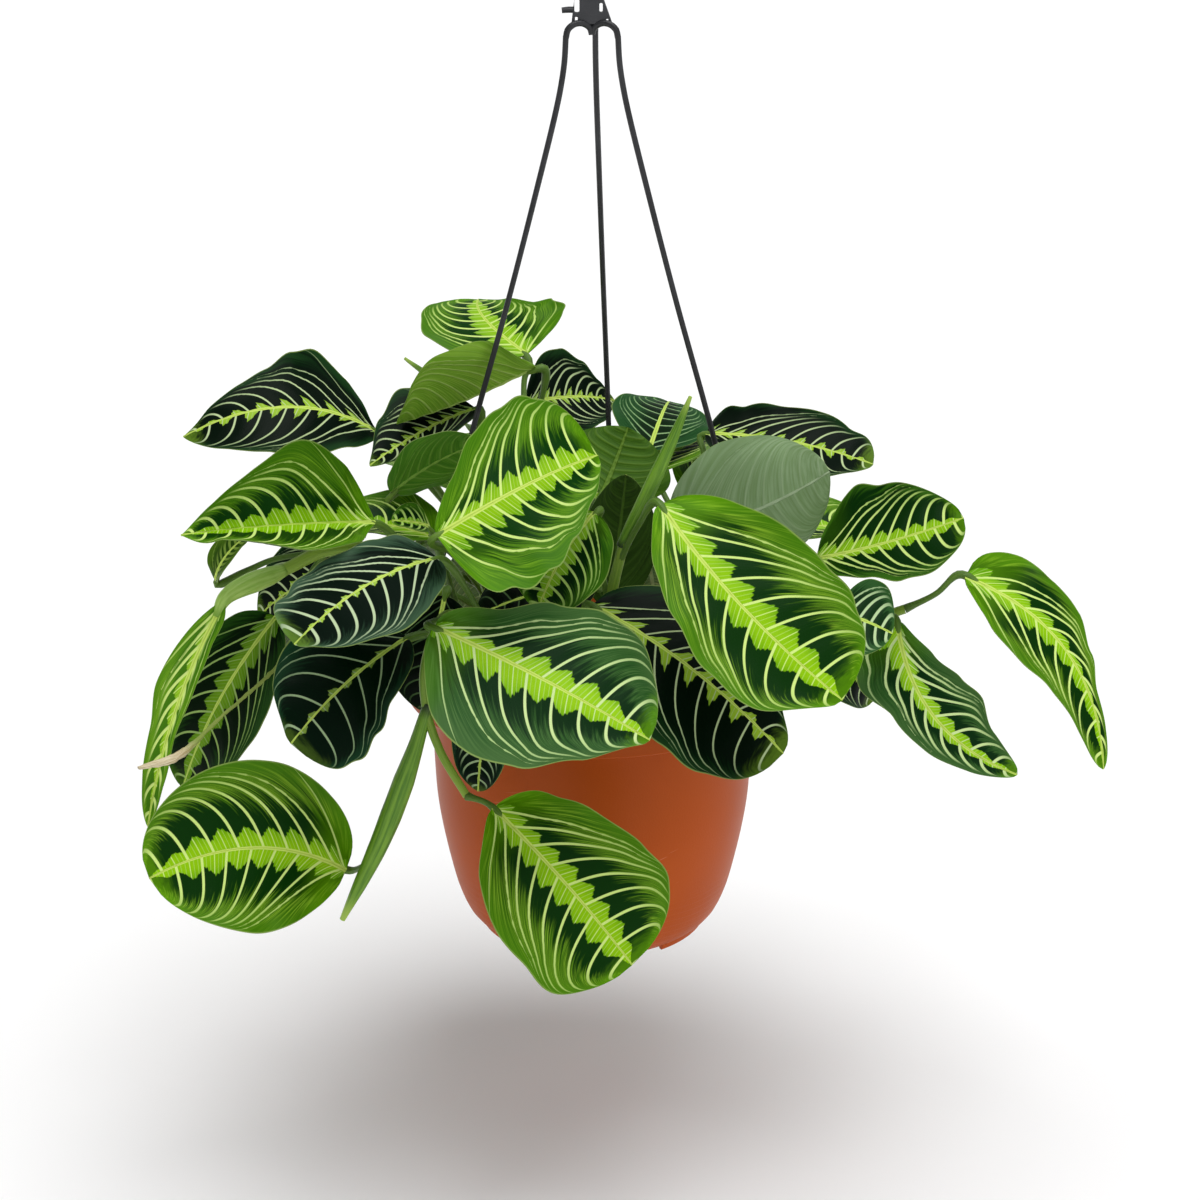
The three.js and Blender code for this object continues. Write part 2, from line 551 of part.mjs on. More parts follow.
// The blade's middle surface. u runs from the stalk to the tip, v from one edge to the other.
function bladeSurface(leaf) {
  const base = vector(leaf.base);
  const along = vector(leaf.tip).sub(base);
  const length = along.length();
  along.normalize();
  const up = vector(leaf.face);
  up.addScaledVector(along, -up.dot(along)).normalize();
  const lean = new THREE.Vector3().crossVectors(along, up).multiplyScalar(leaf.bow ?? 0)
    .addScaledVector(up, leaf.arch);
  return (u, v) => {
    const heading = along.clone().addScaledVector(lean, 4 * (1 - 2 * u)).normalize();
    const rise = up.clone().addScaledVector(heading, -up.dot(heading)).normalize();
    const side = new THREE.Vector3().crossVectors(heading, rise).multiplyScalar(Math.sign(v));
    const out = Math.abs(v);
    const share = shareAt((v > 0 ? leaf.right : leaf.left) ?? [1, 1], u);
    const half = Math.max((leaf.width / 2) * bladeForm(leaf, u) * share, END_HALF);
    const flatEnds = Math.min(1, 6 * u, 6 * (1 - u));
    const bend = radians(leaf.fold * flatEnds + EDGE_DROOP * out * out);
    const phase = 5 * u + (v > 0 ? 0.4 : 1.1);
    const wave = EDGE_WAVE * leaf.width * out ** 2 * Math.sin(Math.PI * phase);
    const point = base.clone().addScaledVector(along, length * u)
      .addScaledVector(lean, length * 4 * u * (1 - u))
      .addScaledVector(side, out * half * Math.cos(bend))
      .addScaledVector(rise, out * half * Math.sin(bend) + wave * Math.min(1, half / 12));
    return { point, rise, flatness: Math.cos(bend) };
  };
}

function makeBlade(leaf) {
  const surface = bladeSurface(leaf);
  const rows = leaf.width < SMALL_BLADE ? 5 : 7;
  const rings = [];
  for (let row = 0; row <= rows; row += 1) {
    const even = row / rows;
    const u = 0.5 * even + 0.5 * (0.5 - 0.5 * Math.cos(Math.PI * even));
    const top = [];
    const under = [];
    for (let column = 0; column <= BLADE_COLUMNS; column += 1) {
      const { point, rise, flatness } = surface(u, (column / BLADE_COLUMNS) * 2 - 1);
      const half = BLADE_THICKNESS / 2 / Math.max(flatness, 0.5);
      top.push(point.clone().addScaledVector(rise, half));
      under.unshift(point.clone().addScaledVector(rise, -half));
    }
    rings.push([...top, ...under]);
  }
  return bladeSkin(rings);
}

// The blade's skin: strips between the rows, each split alike on both faces, and flat ends
function bladeSkin(rings) {
  const count = rings[0].length;
  const columns = count / 2;
  const positions = rings.flat().flatMap((p) => [p.x, p.y, p.z]);
  const faces = [];
  for (let ring = 0; ring < rings.length - 1; ring += 1) {
    for (let i = 0; i < count; i += 1) {
      const next = (i + 1) % count;
      const a = ring * count + i;
      const b = ring * count + next;
      const turned = i >= columns;
      if (turned) faces.push(a, b, a + count, b, b + count, a + count);
      else faces.push(a, b, b + count, a, b + count, a + count);
    }
  }
  for (let i = 0; i < columns - 1; i += 1) {
    const first = [i, i + 1, count - 2 - i, count - 1 - i];
    const last = first.map((index) => index + (rings.length - 1) * count);
    faces.push(first[2], first[1], first[0], first[3], first[2], first[0]);
    faces.push(last[0], last[1], last[2], last[0], last[2], last[3]);
  }
  const geometry = new THREE.BufferGeometry();
  geometry.setAttribute('position', new THREE.Float32BufferAttribute(positions, 3));
  geometry.setIndex(faces);
  return geometry;
}

// Leaf: the blade with its stalk, which starts in the middle of the stem
function makeLeaf(leaf) {
  const stem = STEMS[leaf.stem];
  const start = leaf.onBud === undefined
    ? growingLine(stem).getPointAt(leaf.at)
    : growingLine(stem.bud).getPointAt(leaf.onBud);
  const base = vector(leaf.base);
  const along = vector(leaf.tip).sub(base).normalize();
  const surface = bladeSurface(leaf);
  const { point: root, rise } = surface(0.07, 0);
  const knee = base.clone().addScaledVector(along, -2.5).addScaledVector(rise, -2);
  const way = leaf.via ? leaf.via.map(vector) : [];
  const line = [start, ...way, knee, root.addScaledVector(rise, -0.7)];
  const radii = leaf.sheath ? [2.6, 4.2, 3.6, 2] : [1.9, STALK_RADIUS, STALK_RADIUS, KNEE_RADIUS, 1.1];
  const stalk = stalkAlong(line, radii, 4, start.distanceTo(base) > LONG_STALK ? 6 : 4);
  return solidOf(makeBlade(leaf)).add(solidOf(stalk));
}

// Thin stalk with a dried tip that hangs before the leaves at the far left
function makeDryStalk() {
  return solidOf(stalkAlong(DRY_STALK.points.map(vector), DRY_STALK.radius, 5, 12));
}

const terracotta = new THREE.MeshStandardMaterial({ color: 0xb0582c, roughness: 0.45, metalness: 0 });
const blackPlastic = new THREE.MeshStandardMaterial({ color: 0x1c1d1f, roughness: 0.5, metalness: 0 });
const pottingSoil = new THREE.MeshStandardMaterial({ color: 0x2b1d14, roughness: 0.95, metalness: 0 });
const stemGreen = new THREE.MeshStandardMaterial({ color: 0x5f8c22, roughness: 0.5, metalness: 0 });
const leafGreen = new THREE.MeshStandardMaterial({ color: 0x2f6a1c, roughness: 0.42, metalness: 0 });
const dryStraw = new THREE.MeshStandardMaterial({ color: 0xb9a36b, roughness: 0.8, metalness: 0 });

const hangingPot = new THREE.Group();
const rimFrame = new THREE.Group();
rimFrame.position.z = -RIM_DROP;
hangingPot.add(rimFrame);

rimFrame.add(meshOf(makePot(), 'pot', terracotta));
const stemHoles = Object.values(STEMS).map((stem) => makeStem(stem, GAP));
rimFrame.add(meshOf(makeSoil(stemHoles), 'soil', pottingSoil));
rimFrame.add(meshOf(makeHookHead(), 'hook_head', blackPlastic));
for (const [name, angle] of Object.entries(STRAND_ANGLES)) {
  rimFrame.add(meshOf(makeStrand(angle), name, blackPlastic));
}
for (const [name, stem] of Object.entries(STEMS)) {
  const leaves = Object.values(LEAVES).filter((leaf) => leaf.stem === name && stem.leafy);
  const whole = leaves.reduce((solid, leaf) => solid.add(makeLeaf(leaf)), makeStem(stem));
  rimFrame.add(meshOf(whole, `${stem.leafy ? 'shoot' : 'stem'}_${name}`, stem.leafy ? leafGreen : stemGreen));
}
for (const [name, leaf] of Object.entries(LEAVES)) {
  const stem = STEMS[leaf.stem];
  if (stem.leafy) continue;
  const cutFree = largestOf(makeLeaf(leaf).subtract(makeStem(stem, GAP)));
  rimFrame.add(meshOf(cutFree, name, leafGreen));
}
rimFrame.add(meshOf(makeDryStalk(), 'dry_stalk', dryStraw));

export default hangingPot;
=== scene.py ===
# A prayer plant (maranta) with lime midrib bands in a terracotta-coloured plastic hanging pot.
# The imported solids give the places; this script gives every piece its fine form and its finish.
import math
import random
from dataclasses import dataclass

import bmesh
import bpy
from mathutils import Matrix, Vector, geometry, noise


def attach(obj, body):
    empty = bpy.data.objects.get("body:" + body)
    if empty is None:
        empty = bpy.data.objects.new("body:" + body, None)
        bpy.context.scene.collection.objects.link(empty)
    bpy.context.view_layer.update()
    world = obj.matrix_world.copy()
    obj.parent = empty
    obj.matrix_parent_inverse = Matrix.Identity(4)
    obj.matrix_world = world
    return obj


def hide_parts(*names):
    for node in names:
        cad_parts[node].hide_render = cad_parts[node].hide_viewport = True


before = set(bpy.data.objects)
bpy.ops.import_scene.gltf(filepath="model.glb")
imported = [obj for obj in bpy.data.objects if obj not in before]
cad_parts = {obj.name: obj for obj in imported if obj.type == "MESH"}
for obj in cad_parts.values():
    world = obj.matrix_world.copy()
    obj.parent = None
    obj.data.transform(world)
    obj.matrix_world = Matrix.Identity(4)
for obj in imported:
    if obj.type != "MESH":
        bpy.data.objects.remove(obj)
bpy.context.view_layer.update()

# Camera
# It stands a good metre before the pot, a little above the leaves, and looks down on them.
# The picture is square and takes in about 48 cm of the plant's height.
FOCAL_PIXELS = 2985
PICTURE_PIXELS = 1200
LOOK_DOWN = 20.5
STAND_POINT = (0.003, -1.1157, 0.1268)

camera = bpy.data.objects.new("camera", bpy.data.cameras.new("camera"))
bpy.context.scene.collection.objects.link(camera)
bpy.context.scene.camera = camera
camera.data.sensor_width = 36
camera.data.lens = camera.data.sensor_width * FOCAL_PIXELS / PICTURE_PIXELS
camera.location = STAND_POINT
camera.rotation_euler = (math.radians(90 - LOOK_DOWN), 0, 0)


# Pot
# A nursery pot of thin terracotta-coloured plastic, moulded in one with its turned-down rim collar.
# It has a belly, a foot ring with six notches, drain holes, and slots in the flange for the hanger.
# Sizes are in millimetres from the centre of the rim, for this and every later piece.
MILLIMETRE = 0.001
RIM_CENTRE = Vector((0, 0, -315 * MILLIMETRE))


class Channel:
    """A number or vector that varies over a surface. Arithmetic on it adds Math nodes."""

    def __init__(self, finish, socket):
        self.finish = finish
        self.socket = socket

    def math(self, operation, *others):
        inputs = dict(enumerate((self, *others)))
        return self.finish.node("ShaderNodeMath", {"operation": operation}, inputs)

    def __add__(self, other):
        return self.math("ADD", other)

    __radd__ = __add__

    def __sub__(self, other):
        return self.math("SUBTRACT", other)

    def __rsub__(self, other):
        return self.math("MULTIPLY_ADD", -1, other)

    def __mul__(self, other):
        return self.math("MULTIPLY", other)

    __rmul__ = __mul__

    def __gt__(self, other):
        return self.math("GREATER_THAN", other)

    def __abs__(self):
        return self.math("ABSOLUTE")

    def step(self, low, high):
        """0 up to low and 1 from high on, with a soft change between them"""
        span = {"Value": self, "From Min": low, "From Max": high}
        return self.finish.node("ShaderNodeMapRange", {"interpolation_type": "SMOOTHSTEP"}, span)

    def graph(self, *stops):
        """Straight lines through (value, result) stops between 0 and 1"""
        return self.finish.node("ShaderNodeValToRGB", {"stops": stops}, {"Fac": self})

    def part(self, axis):
        return self.finish.node("ShaderNodeSeparateXYZ", {}, {"Vector": self}, axis)


class Finish:
    """A material: its shader with fixed values, and one way to add any other node"""

    def __init__(self, name, roughness, specular=0.5):
        self.material = bpy.data.materials.new(name)
        self.material.use_nodes = True
        self.tree = self.material.node_tree
        self.shader = self.tree.nodes["Principled BSDF"]
        self.shader.inputs["Roughness"].default_value = roughness
        self.shader.inputs["Specular IOR Level"].default_value = specular

    def node(self, kind, settings, inputs, output=0):
        made = self.tree.nodes.new(kind)
        for name, setting in settings.items():
            if name != "stops":
                setattr(made, name, setting)
                continue
            stops = made.color_ramp.elements
            stops.remove(stops[1])
            for number, (place, level) in enumerate(setting):
                stop = stops.new(place) if number else stops[0]
                stop.position = place
                stop.color = (level, level, level, 1)
        for name, value in inputs.items():
            if isinstance(value, Channel):
                self.tree.links.new(value.socket, made.inputs[name])
            else:
                made.inputs[name].default_value = value
        return Channel(self, made.outputs[output])

    def place(self):
        return self.node("ShaderNodeTexCoord", {}, {}, "Object")

    def attribute(self, name, output="Fac"):
        return self.node("ShaderNodeAttribute", {"attribute_name": name}, {}, output)

    def vector(self, x, y, z):
        return self.node("ShaderNodeCombineXYZ", {}, {"X": x, "Y": y, "Z": z})

    def noise(self, where, scale, detail=2.0):
        return self.node("ShaderNodeTexNoise", {}, {"Vector": where, "Scale": scale, "Detail": detail})

    def mix(self, share, first, second):
        return self.node("ShaderNodeMix", {"data_type": "RGBA"}, {0: share, 6: first, 7: second}, 2)

    def wear(self, colour, roughness=None, height=None, depth=0.0002):
        """Gives the shader its varying colour, roughness, and relief of that depth in metres"""
        self.tree.links.new(colour.socket, self.shader.inputs["Base Color"])
        if roughness:
            self.tree.links.new(roughness.socket, self.shader.inputs["Roughness"])
        if height:
            relief = self.node("ShaderNodeBump", {}, {"Height": height, "Distance": depth})
            self.tree.links.new(relief.socket, self.shader.inputs["Normal"])
        return self.material


def shade(red, green, blue):
    """A colour as a screen shows it, 0 to 255, in the renderer's own scale"""
    scaled = [part / 255 for part in (red, green, blue)]
    return (*[p / 12.92 if p <= 0.04045 else ((p + 0.055) / 1.055) ** 2.4 for p in scaled], 1)


def shown(name, bm, materials, sharp=40):
    """A bmesh drawn in millimetres from the rim's centre, as an object at the origin"""
    bm.transform(Matrix.Translation(RIM_CENTRE) @ Matrix.Scale(MILLIMETRE, 4))
    mesh = bpy.data.meshes.new(name)
    bm.to_mesh(mesh)
    bm.free()
    for material in materials:
        mesh.materials.append(material)
    mesh.shade_smooth()
    mesh.set_sharp_from_angle(angle=math.radians(sharp))
    piece = bpy.data.objects.new(name, mesh)
    bpy.context.scene.collection.objects.link(piece)
    return piece


def placed(piece, nodes):
    """Attaches a piece to the root body and hides the solids it replaces"""
    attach(piece, "root")
    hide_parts(*nodes)


def turned(profile, steps):
    """A closed shape turned round the pot's middle line from (radius, height) points"""
    bm = bmesh.new()
    corners = [bm.verts.new((radius, 0, height)) for radius, height in profile]
    edges = [bm.edges.new(pair) for pair in zip(corners, corners[1:])]
    bmesh.ops.spin(bm, geom=corners + edges, axis=(0, 0, 1), cent=(0, 0, 0), steps=steps,
                   angle=math.tau, use_merge=True)
    bmesh.ops.remove_doubles(bm, verts=bm.verts, dist=0.01)
    bmesh.ops.recalc_face_normals(bm, faces=bm.faces)
    return bm


def block(bm, size, middle, turn=0.0):
    """Adds a block to a bmesh, turned by degrees round the pot's middle line"""
    shape = Matrix.Rotation(math.radians(turn), 4, "Z") @ Matrix.Translation(middle)
    return bmesh.ops.create_cube(bm, matrix=shape @ Matrix.Diagonal((*size, 1)))["verts"]


def cut(piece, bm):
    """Takes the solids in a bmesh out of a piece"""
    bmesh.ops.recalc_face_normals(bm, faces=bm.faces)
    cutter = shown("cutter", bm, [])
    boolean = piece.modifiers.new("cut", "BOOLEAN")
    boolean.object = cutter
    boolean.solver = "EXACT"
    graph = bpy.context.evaluated_depsgraph_get()
    mesh = bpy.data.meshes.new_from_object(piece.evaluated_get(graph))
    piece.modifiers.clear()
    piece.data = mesh
    mesh.shade_smooth()
    mesh.set_sharp_from_angle(angle=math.radians(35))
    bpy.data.objects.remove(cutter)


def smooth_line(points, count):
    """Points at even distances along a smooth line through the given ones"""
    points = [Vector(point) for point in points]
    ends = [2 * points[0] - points[1], *points, 2 * points[-1] - points[-2]]
    gaps = [(b - a).length ** 0.5 for a, b in zip(ends, ends[1:])]
    fine = []
    for i in range(1, len(ends) - 2):
        before, here, there, after = ends[i - 1:i + 3]
        first, middle, last = gaps[i - 1:i + 2]
        straight = (there - here) / middle
        leave = (here - before) / first - (there - before) / (first + middle) + straight
        reach = straight - (after - here) / (middle + last) + (after - there) / last
        leave *= middle / 3
        reach *= middle / 3
        fine += geometry.interpolate_bezier(here, here + leave, there - reach, there, 40)[:-1]
    fine.append(points[-1])
    lengths = [0.0]
    for a, b in zip(fine, fine[1:]):
        lengths.append(lengths[-1] + (b - a).length)
    line = []
    spot = 0
    for number in range(count):
        wanted = lengths[-1] * number / (count - 1)
        while spot < len(fine) - 2 and lengths[spot + 1] < wanted:
            spot += 1
        share = (wanted - lengths[spot]) / max(lengths[spot + 1] - lengths[spot], 1e-9)
        line.append(fine[spot].lerp(fine[spot + 1], min(share, 1.0)))
    return line


POT_WALL = 1.5
POT_DEPTH = 110
RIM_RADIUS = 75
COLLAR_HEIGHT = 12
FOOT_RADIUS = 46.5
FOOT_HEIGHT = 2.6
FOOT_NOTCHES = 6
NOTCH_SIZE = (12, 12, FOOT_HEIGHT)
DRAIN_CIRCLE = 33
DRAIN_RADIUS = 3.5
SLOT_CIRCLE = 71
SLOT_SIZE = (3.6, 4.6, 4)
STRAND_ANGLES = {"strand_left": 198, "strand_right": 342, "strand_back": 83}
POT_SIDE = [(65.6, -1.9), (65.2, -15), (64.4, -35), (62.9, -60), (58.3, -85), (54.8, -98), (51, -106),
            (47.2, -109.6)]

side = [(p.x, p.z) for p in smooth_line([(r, 0, z) for r, z in POT_SIDE], 34)]
inner_side = [(r - POT_WALL, max(z, -POT_DEPTH + 4)) for r, z in side[1:-3]]
collar_in = RIM_RADIUS - POT_WALL
pot_profile = [
    (0, -POT_DEPTH), (FOOT_RADIUS - 3, -POT_DEPTH), (FOOT_RADIUS - 2.7, -POT_DEPTH - FOOT_HEIGHT + 0.5),
    (FOOT_RADIUS - 2.2, -POT_DEPTH - FOOT_HEIGHT), (FOOT_RADIUS - 0.9, -POT_DEPTH - FOOT_HEIGHT),
    (FOOT_RADIUS - 0.3, -POT_DEPTH - FOOT_HEIGHT + 0.5), (FOOT_RADIUS, -POT_DEPTH), *reversed(side),
    (collar_in - 0.8, -1.9), (collar_in, -2.7), (collar_in, -COLLAR_HEIGHT + 0.5),
    (collar_in + 0.5, -COLLAR_HEIGHT), (RIM_RADIUS - 0.4, -COLLAR_HEIGHT), (RIM_RADIUS, -COLLAR_HEIGHT + 0.5),
    (RIM_RADIUS + 0.1, -6), (RIM_RADIUS, -1.4), (RIM_RADIUS - 0.5, -0.4), (RIM_RADIUS - 1.5, 0),
    (65.6, 0), (64.8, -0.4), (64.2, -1.4), *inner_side, (46, -POT_DEPTH + 2), (0, -POT_DEPTH + 2),
]
pot_shape = turned(pot_profile, 128)

pot_finish = Finish("terracotta_plastic", 0.42, specular=0.1)
where = pot_finish.place()
broad = pot_finish.noise(where, 22)
grain = pot_finish.noise(where, 1500)
x, y, z = (where.part(axis) for axis in "XYZ")
scuff_place = pot_finish.vector(x * 60 + z * 30, y * 60, z * 900 - x * 240)
scuffs = pot_finish.noise(scuff_place, 1.0, 1).step(0.70, 0.76) * broad.step(0.52, 0.62)
arcs = (z * 330 + x * 40 + broad * 0.8).math("FRACT").step(0.42, 0.5) * z.step(-0.39, -0.41)
body_colour = pot_finish.mix(broad, shade(172, 74, 18), shade(186, 84, 26))
body_colour = pot_finish.mix(grain.step(0.6, 0.8) * 0.2, body_colour, shade(150, 72, 36))
body_colour = pot_finish.mix(scuffs * 0.5, body_colour, shade(226, 156, 122))
terracotta = pot_finish.wear(body_colour, broad * 0.14 + scuffs * 0.2 + 0.34, grain * 0.35 + arcs * 0.25)

pot = shown("pot_shell", pot_shape, [terracotta])
openings = bmesh.new()
for number in range(FOOT_NOTCHES):
    turn = 360 * number / FOOT_NOTCHES
    block(openings, NOTCH_SIZE, (FOOT_RADIUS, 0, -POT_DEPTH - FOOT_HEIGHT / 2 - 0.2), turn)
    angle = math.radians(turn + 30)
    middle = (DRAIN_CIRCLE * math.cos(angle), DRAIN_CIRCLE * math.sin(angle), -POT_DEPTH)
    bmesh.ops.create_cone(openings, cap_ends=True, segments=24, radius1=DRAIN_RADIUS,
                          radius2=DRAIN_RADIUS, depth=8, matrix=Matrix.Translation(middle))
for angle in STRAND_ANGLES.values():
    block(openings, SLOT_SIZE, (SLOT_CIRCLE, 0, -1), angle)
cut(pot, openings)
placed(pot, ["pot"])


# Soil
# Dark moist potting mix of peat and bark fills the pot to a finger's breadth under the rim.
# Its top is lumpy, and chips of bark and a few white grains lie on it.
SOIL_TOP = -15
SOIL_RINGS = 16
CHIPS = 150
CHIPS_PER_GRAIN = 15
SEED = 5


def soil_height(x, y):
    lump = math.sin(x * 0.19 + 1.3) * math.cos(y * 0.16) + 0.5 * math.sin(x * 0.41 - y * 0.33)
    return SOIL_TOP + 2.2 * lump + 1.6 * noise.noise(Vector((x, y, 0)) * 0.3)


soil_radius = 65 - POT_WALL - 0.4
soil_profile = [(0, -POT_DEPTH + 2.3), (44, -POT_DEPTH + 2.3), (49, -POT_DEPTH + 5.6), (52.7, -98),
                (56.2, -85), (60.8, -60), (62.4, -35), (soil_radius, SOIL_TOP - 1)]
soil_profile += [(soil_radius * (1 - i / SOIL_RINGS), SOIL_TOP) for i in range(SOIL_RINGS)] + [(0, SOIL_TOP)]
soil_shape = turned(soil_profile, 72)
for vert in soil_shape.verts:
    if vert.co.z > SOIL_TOP - 0.5:
        vert.co.z = soil_height(vert.co.x, vert.co.y)
draw = random.Random(SEED)
noise.seed_set(SEED)
for number in range(CHIPS):
    turn = draw.uniform(0, math.tau)
    out = 60 * math.sqrt(draw.random())
    x, y = out * math.cos(turn), out * math.sin(turn)
    long = draw.uniform(1.2, 3.4)
    lie = Matrix.Rotation(turn * 5, 3, "Z") @ Matrix.Rotation(draw.uniform(-0.5, 0.5), 3, "Y")
    size = Vector((long, long * draw.uniform(0.4, 0.8), draw.uniform(0.5, 1.2)))
    form = Matrix.LocRotScale(Vector((x, y, soil_height(x, y) + 0.4)), lie, size)
    chip = bmesh.ops.create_icosphere(soil_shape, subdivisions=1, radius=1, matrix=form)["verts"]
    for vert in chip:
        vert.co += noise.noise_vector(vert.co * 0.9) * 0.5
    for face in {face for vert in chip for face in vert.link_faces}:
        face.material_index = 1 if number % CHIPS_PER_GRAIN else 2

soil_finish = Finish("damp_mix", 0.9, specular=0.2)
where = soil_finish.place()
crumbs = soil_finish.noise(where, 420, 4)
soil_colour = soil_finish.mix(crumbs.step(0.35, 0.7), shade(28, 20, 14), shade(84, 64, 46))
dark_mix = soil_finish.wear(soil_colour, crumbs * 0.3 + 0.65, crumbs, 0.0012)
bark_finish = Finish("bark", 0.8, specular=0.3)
fibres = bark_finish.noise(bark_finish.place(), 700, 3)
bark_colour = bark_finish.mix(fibres, shade(60, 38, 22), shade(128, 92, 60))
bark = bark_finish.wear(bark_colour, None, fibres, 0.0004)
grain_finish = Finish("white_grain", 0.85)
pores = grain_finish.noise(grain_finish.place(), 900, 2)
grain_colour = grain_finish.mix(pores, shade(176, 170, 158), shade(232, 228, 220))
white_grain = grain_finish.wear(grain_colour, None, pores)

soil = shown("potting_mix", soil_shape, [dark_mix, bark, white_grain])
placed(soil, ["soil"])


# Hanger
# Black plastic, moulded in one: an open hook on a slotted plate, and three thin strands that leave
# the plate's foot in arches. Each strand ends in a T that sits under the pot's flange.
def around(verts, kind):
    """The edges or faces at some vertices, each of them once and always in the same order"""
    return list(dict.fromkeys(item for vert in verts for item in getattr(vert, kind)))


def grow_tube(bm, points, radii, sides, material=0, step=1.0):
    """Grows a closed round bar along a line. Its radius runs through radii, in millimetres."""
    length = sum(math.dist(a, b) for a, b in zip(points, points[1:]))
    line = smooth_line(points, max(6, round(length / step)))
    last = len(line) - 1
    heading = (line[1] - line[0]).normalized()
    turn = heading.to_track_quat("Z", "Y")
    grown = bm.verts.layers.float_vector["grown"]
    for number, point in enumerate(line):
        new_heading = (line[min(number + 1, last)] - line[max(number - 1, 0)]).normalized()
        turn = heading.rotation_difference(new_heading) @ turn
        heading = new_heading
        slot = min(number / last * (len(radii) - 1), len(radii) - 1.001)
        whole = int(slot)
        radius = radii[whole] + (radii[whole + 1] - radii[whole]) * (slot - whole)
        form = Matrix.LocRotScale(point, turn, Vector((radius, radius, radius)))
        if number == 0:
            ring = bmesh.ops.create_circle(bm, segments=sides, radius=1, matrix=form)["verts"]
            edges = around(ring, "link_edges")
            faces = bmesh.ops.contextual_create(bm, geom=edges)["faces"]
        else:
            made = bmesh.ops.extrude_edge_only(bm, edges=edges)["geom"]
            ring = [item for item in made if isinstance(item, bmesh.types.BMVert)]
            bmesh.ops.transform(bm, matrix=form @ old_form.inverted(), verts=ring)
            faces += around(ring, "link_faces")
            edges = [edge for edge in around(ring, "link_edges") if set(edge.verts) <= set(ring)]
        for vert in ring:
            local = form.inverted() @ vert.co
            vert[grown] = (local.x, local.y, number / last)
        old_form = form
    faces += bmesh.ops.contextual_create(bm, geom=edges)["faces"]
    for face in faces:
        face.material_index = material
    bmesh.ops.recalc_face_normals(bm, faces=faces)


def new_growth():
    """An empty bmesh that keeps each bar's own places: across it, and along it from 0 to 1"""
    bm = bmesh.new()
    bm.verts.layers.float_vector.new("grown")
    return bm


def rotated(points, angle):
    return [Matrix.Rotation(math.radians(angle), 3, "Z") @ Vector(point) for point in points]


def eased(bm, edges, width, segments=2):
    """Rounds edges off to that width"""
    bmesh.ops.bevel(bm, geom=edges, offset=width, offset_type="OFFSET", segments=segments, profile=0.5,
                    affect="EDGES", material=-1)


def black_plastic(name):
    finish = Finish(name, 0.38, specular=0.45)
    where = finish.place()
    worn = finish.noise(where, 60, 3)
    fine = finish.noise(where, 1800)
    grown = finish.attribute("grown", "Vector")
    # Painted highlight: a paler line along two opposite sides of each bar.
    highlight_line = abs(grown.part("X")).step(0.25, 0.0) * 0.5
    colour = finish.mix(worn.step(0.35, 0.75), shade(26, 27, 30), shade(46, 47, 51))
    colour = finish.mix(highlight_line * 0.4, colour, shade(84, 86, 90))
    return finish.wear(colour, worn * 0.2 + 0.3, fine * 0.4)


STRAND_LINE = [(10.2, 0, 249.6), (10.8, 0, 240), (12.2, 0, 231), (14.4, 0, 221), (22.6, 0, 190),
               (33.4, 0, 151), (51, 0, 91), (66, 0, 30), (70.6, 0, 8), (SLOT_CIRCLE, 0, 2),
               (SLOT_CIRCLE, 0, -3)]
STRAND_RADII = [1.15, 1.15, 1.1, 1.1, 1.1, 1.15, 1.3]
STRAND_END = (2.6, 8.5, 2)
strand_plastic = black_plastic("black_strand")
for node, angle in STRAND_ANGLES.items():
    shape = new_growth()
    grow_tube(shape, rotated(STRAND_LINE, angle), STRAND_RADII, 12, step=2.5)
    end = block(shape, STRAND_END, (SLOT_CIRCLE, 0, -4.7), angle)
    eased(shape, around(end, "link_edges"), 0.4)
    strand = shown("hanger_" + node, shape, [strand_plastic])
    placed(strand, [node])

HOOK_INNER = 12
HOOK_WIRE = 2.6
HOOK_MIDDLE = 303
ARCH_LINE = [(0, 0, 249.8), (0.8, 0, 252.2), (3.6, 0, 254), (6.9, 0, 253.8), (9.4, 0, 251.9),
             (10.2, 0, 248.8)]
NUB_LINE = [(-6.5, 0, 258.8), (-9, 0, 258.8), (-11.2, 0, 258.6)]
hub_plastic = black_plastic("black_hub")
hub_shape = new_growth()
for angle in STRAND_ANGLES.values():
    grow_tube(hub_shape, rotated(ARCH_LINE, angle), [1.3, 1.3, 1.25, 1.25, 1.2], 12)
hook_line = [(0, 0, 264), (0, 0, 279), (5, 0, 286.5)]
for angle in range(-45, 201, 20):
    radius = HOOK_INNER + HOOK_WIRE
    across, rise = radius * math.cos(math.radians(angle)), radius * math.sin(math.radians(angle))
    hook_line.append((across, 0, HOOK_MIDDLE + rise))
hook_line.append((-HOOK_INNER - HOOK_WIRE - 2.2, 0, HOOK_MIDDLE - 10))
grow_tube(hub_shape, hook_line, [2.2, HOOK_WIRE, HOOK_WIRE, HOOK_WIRE, HOOK_WIRE, 1.9], 18)
grow_tube(hub_shape, NUB_LINE, [1.2, 1.2, 1.1], 10)
placed(shown("hanger_hub", hub_shape, [hub_plastic], 35), ["hook_head"])

PLATE_SIZE = (15.4, 2.6, 17)
PLATE_BOTTOM = 253.6
PLATE_TOP_SIDES = (-5.6, 1.6)
PLATE_HOLES = [(-5.6, 260.4, 1.9, 5.2), (-5.8, 255.4, 1, 1.9), (3.4, 259.7, 1.2, 3.5),
               (5.7, 255, 0.8, 1.2)]


def through_edges(verts):
    """The edges of a block that run straight away from the viewer"""
    edges = around(verts, "link_edges")
    return [edge for edge in edges if abs(edge.verts[0].co.y - edge.verts[1].co.y) > 1]


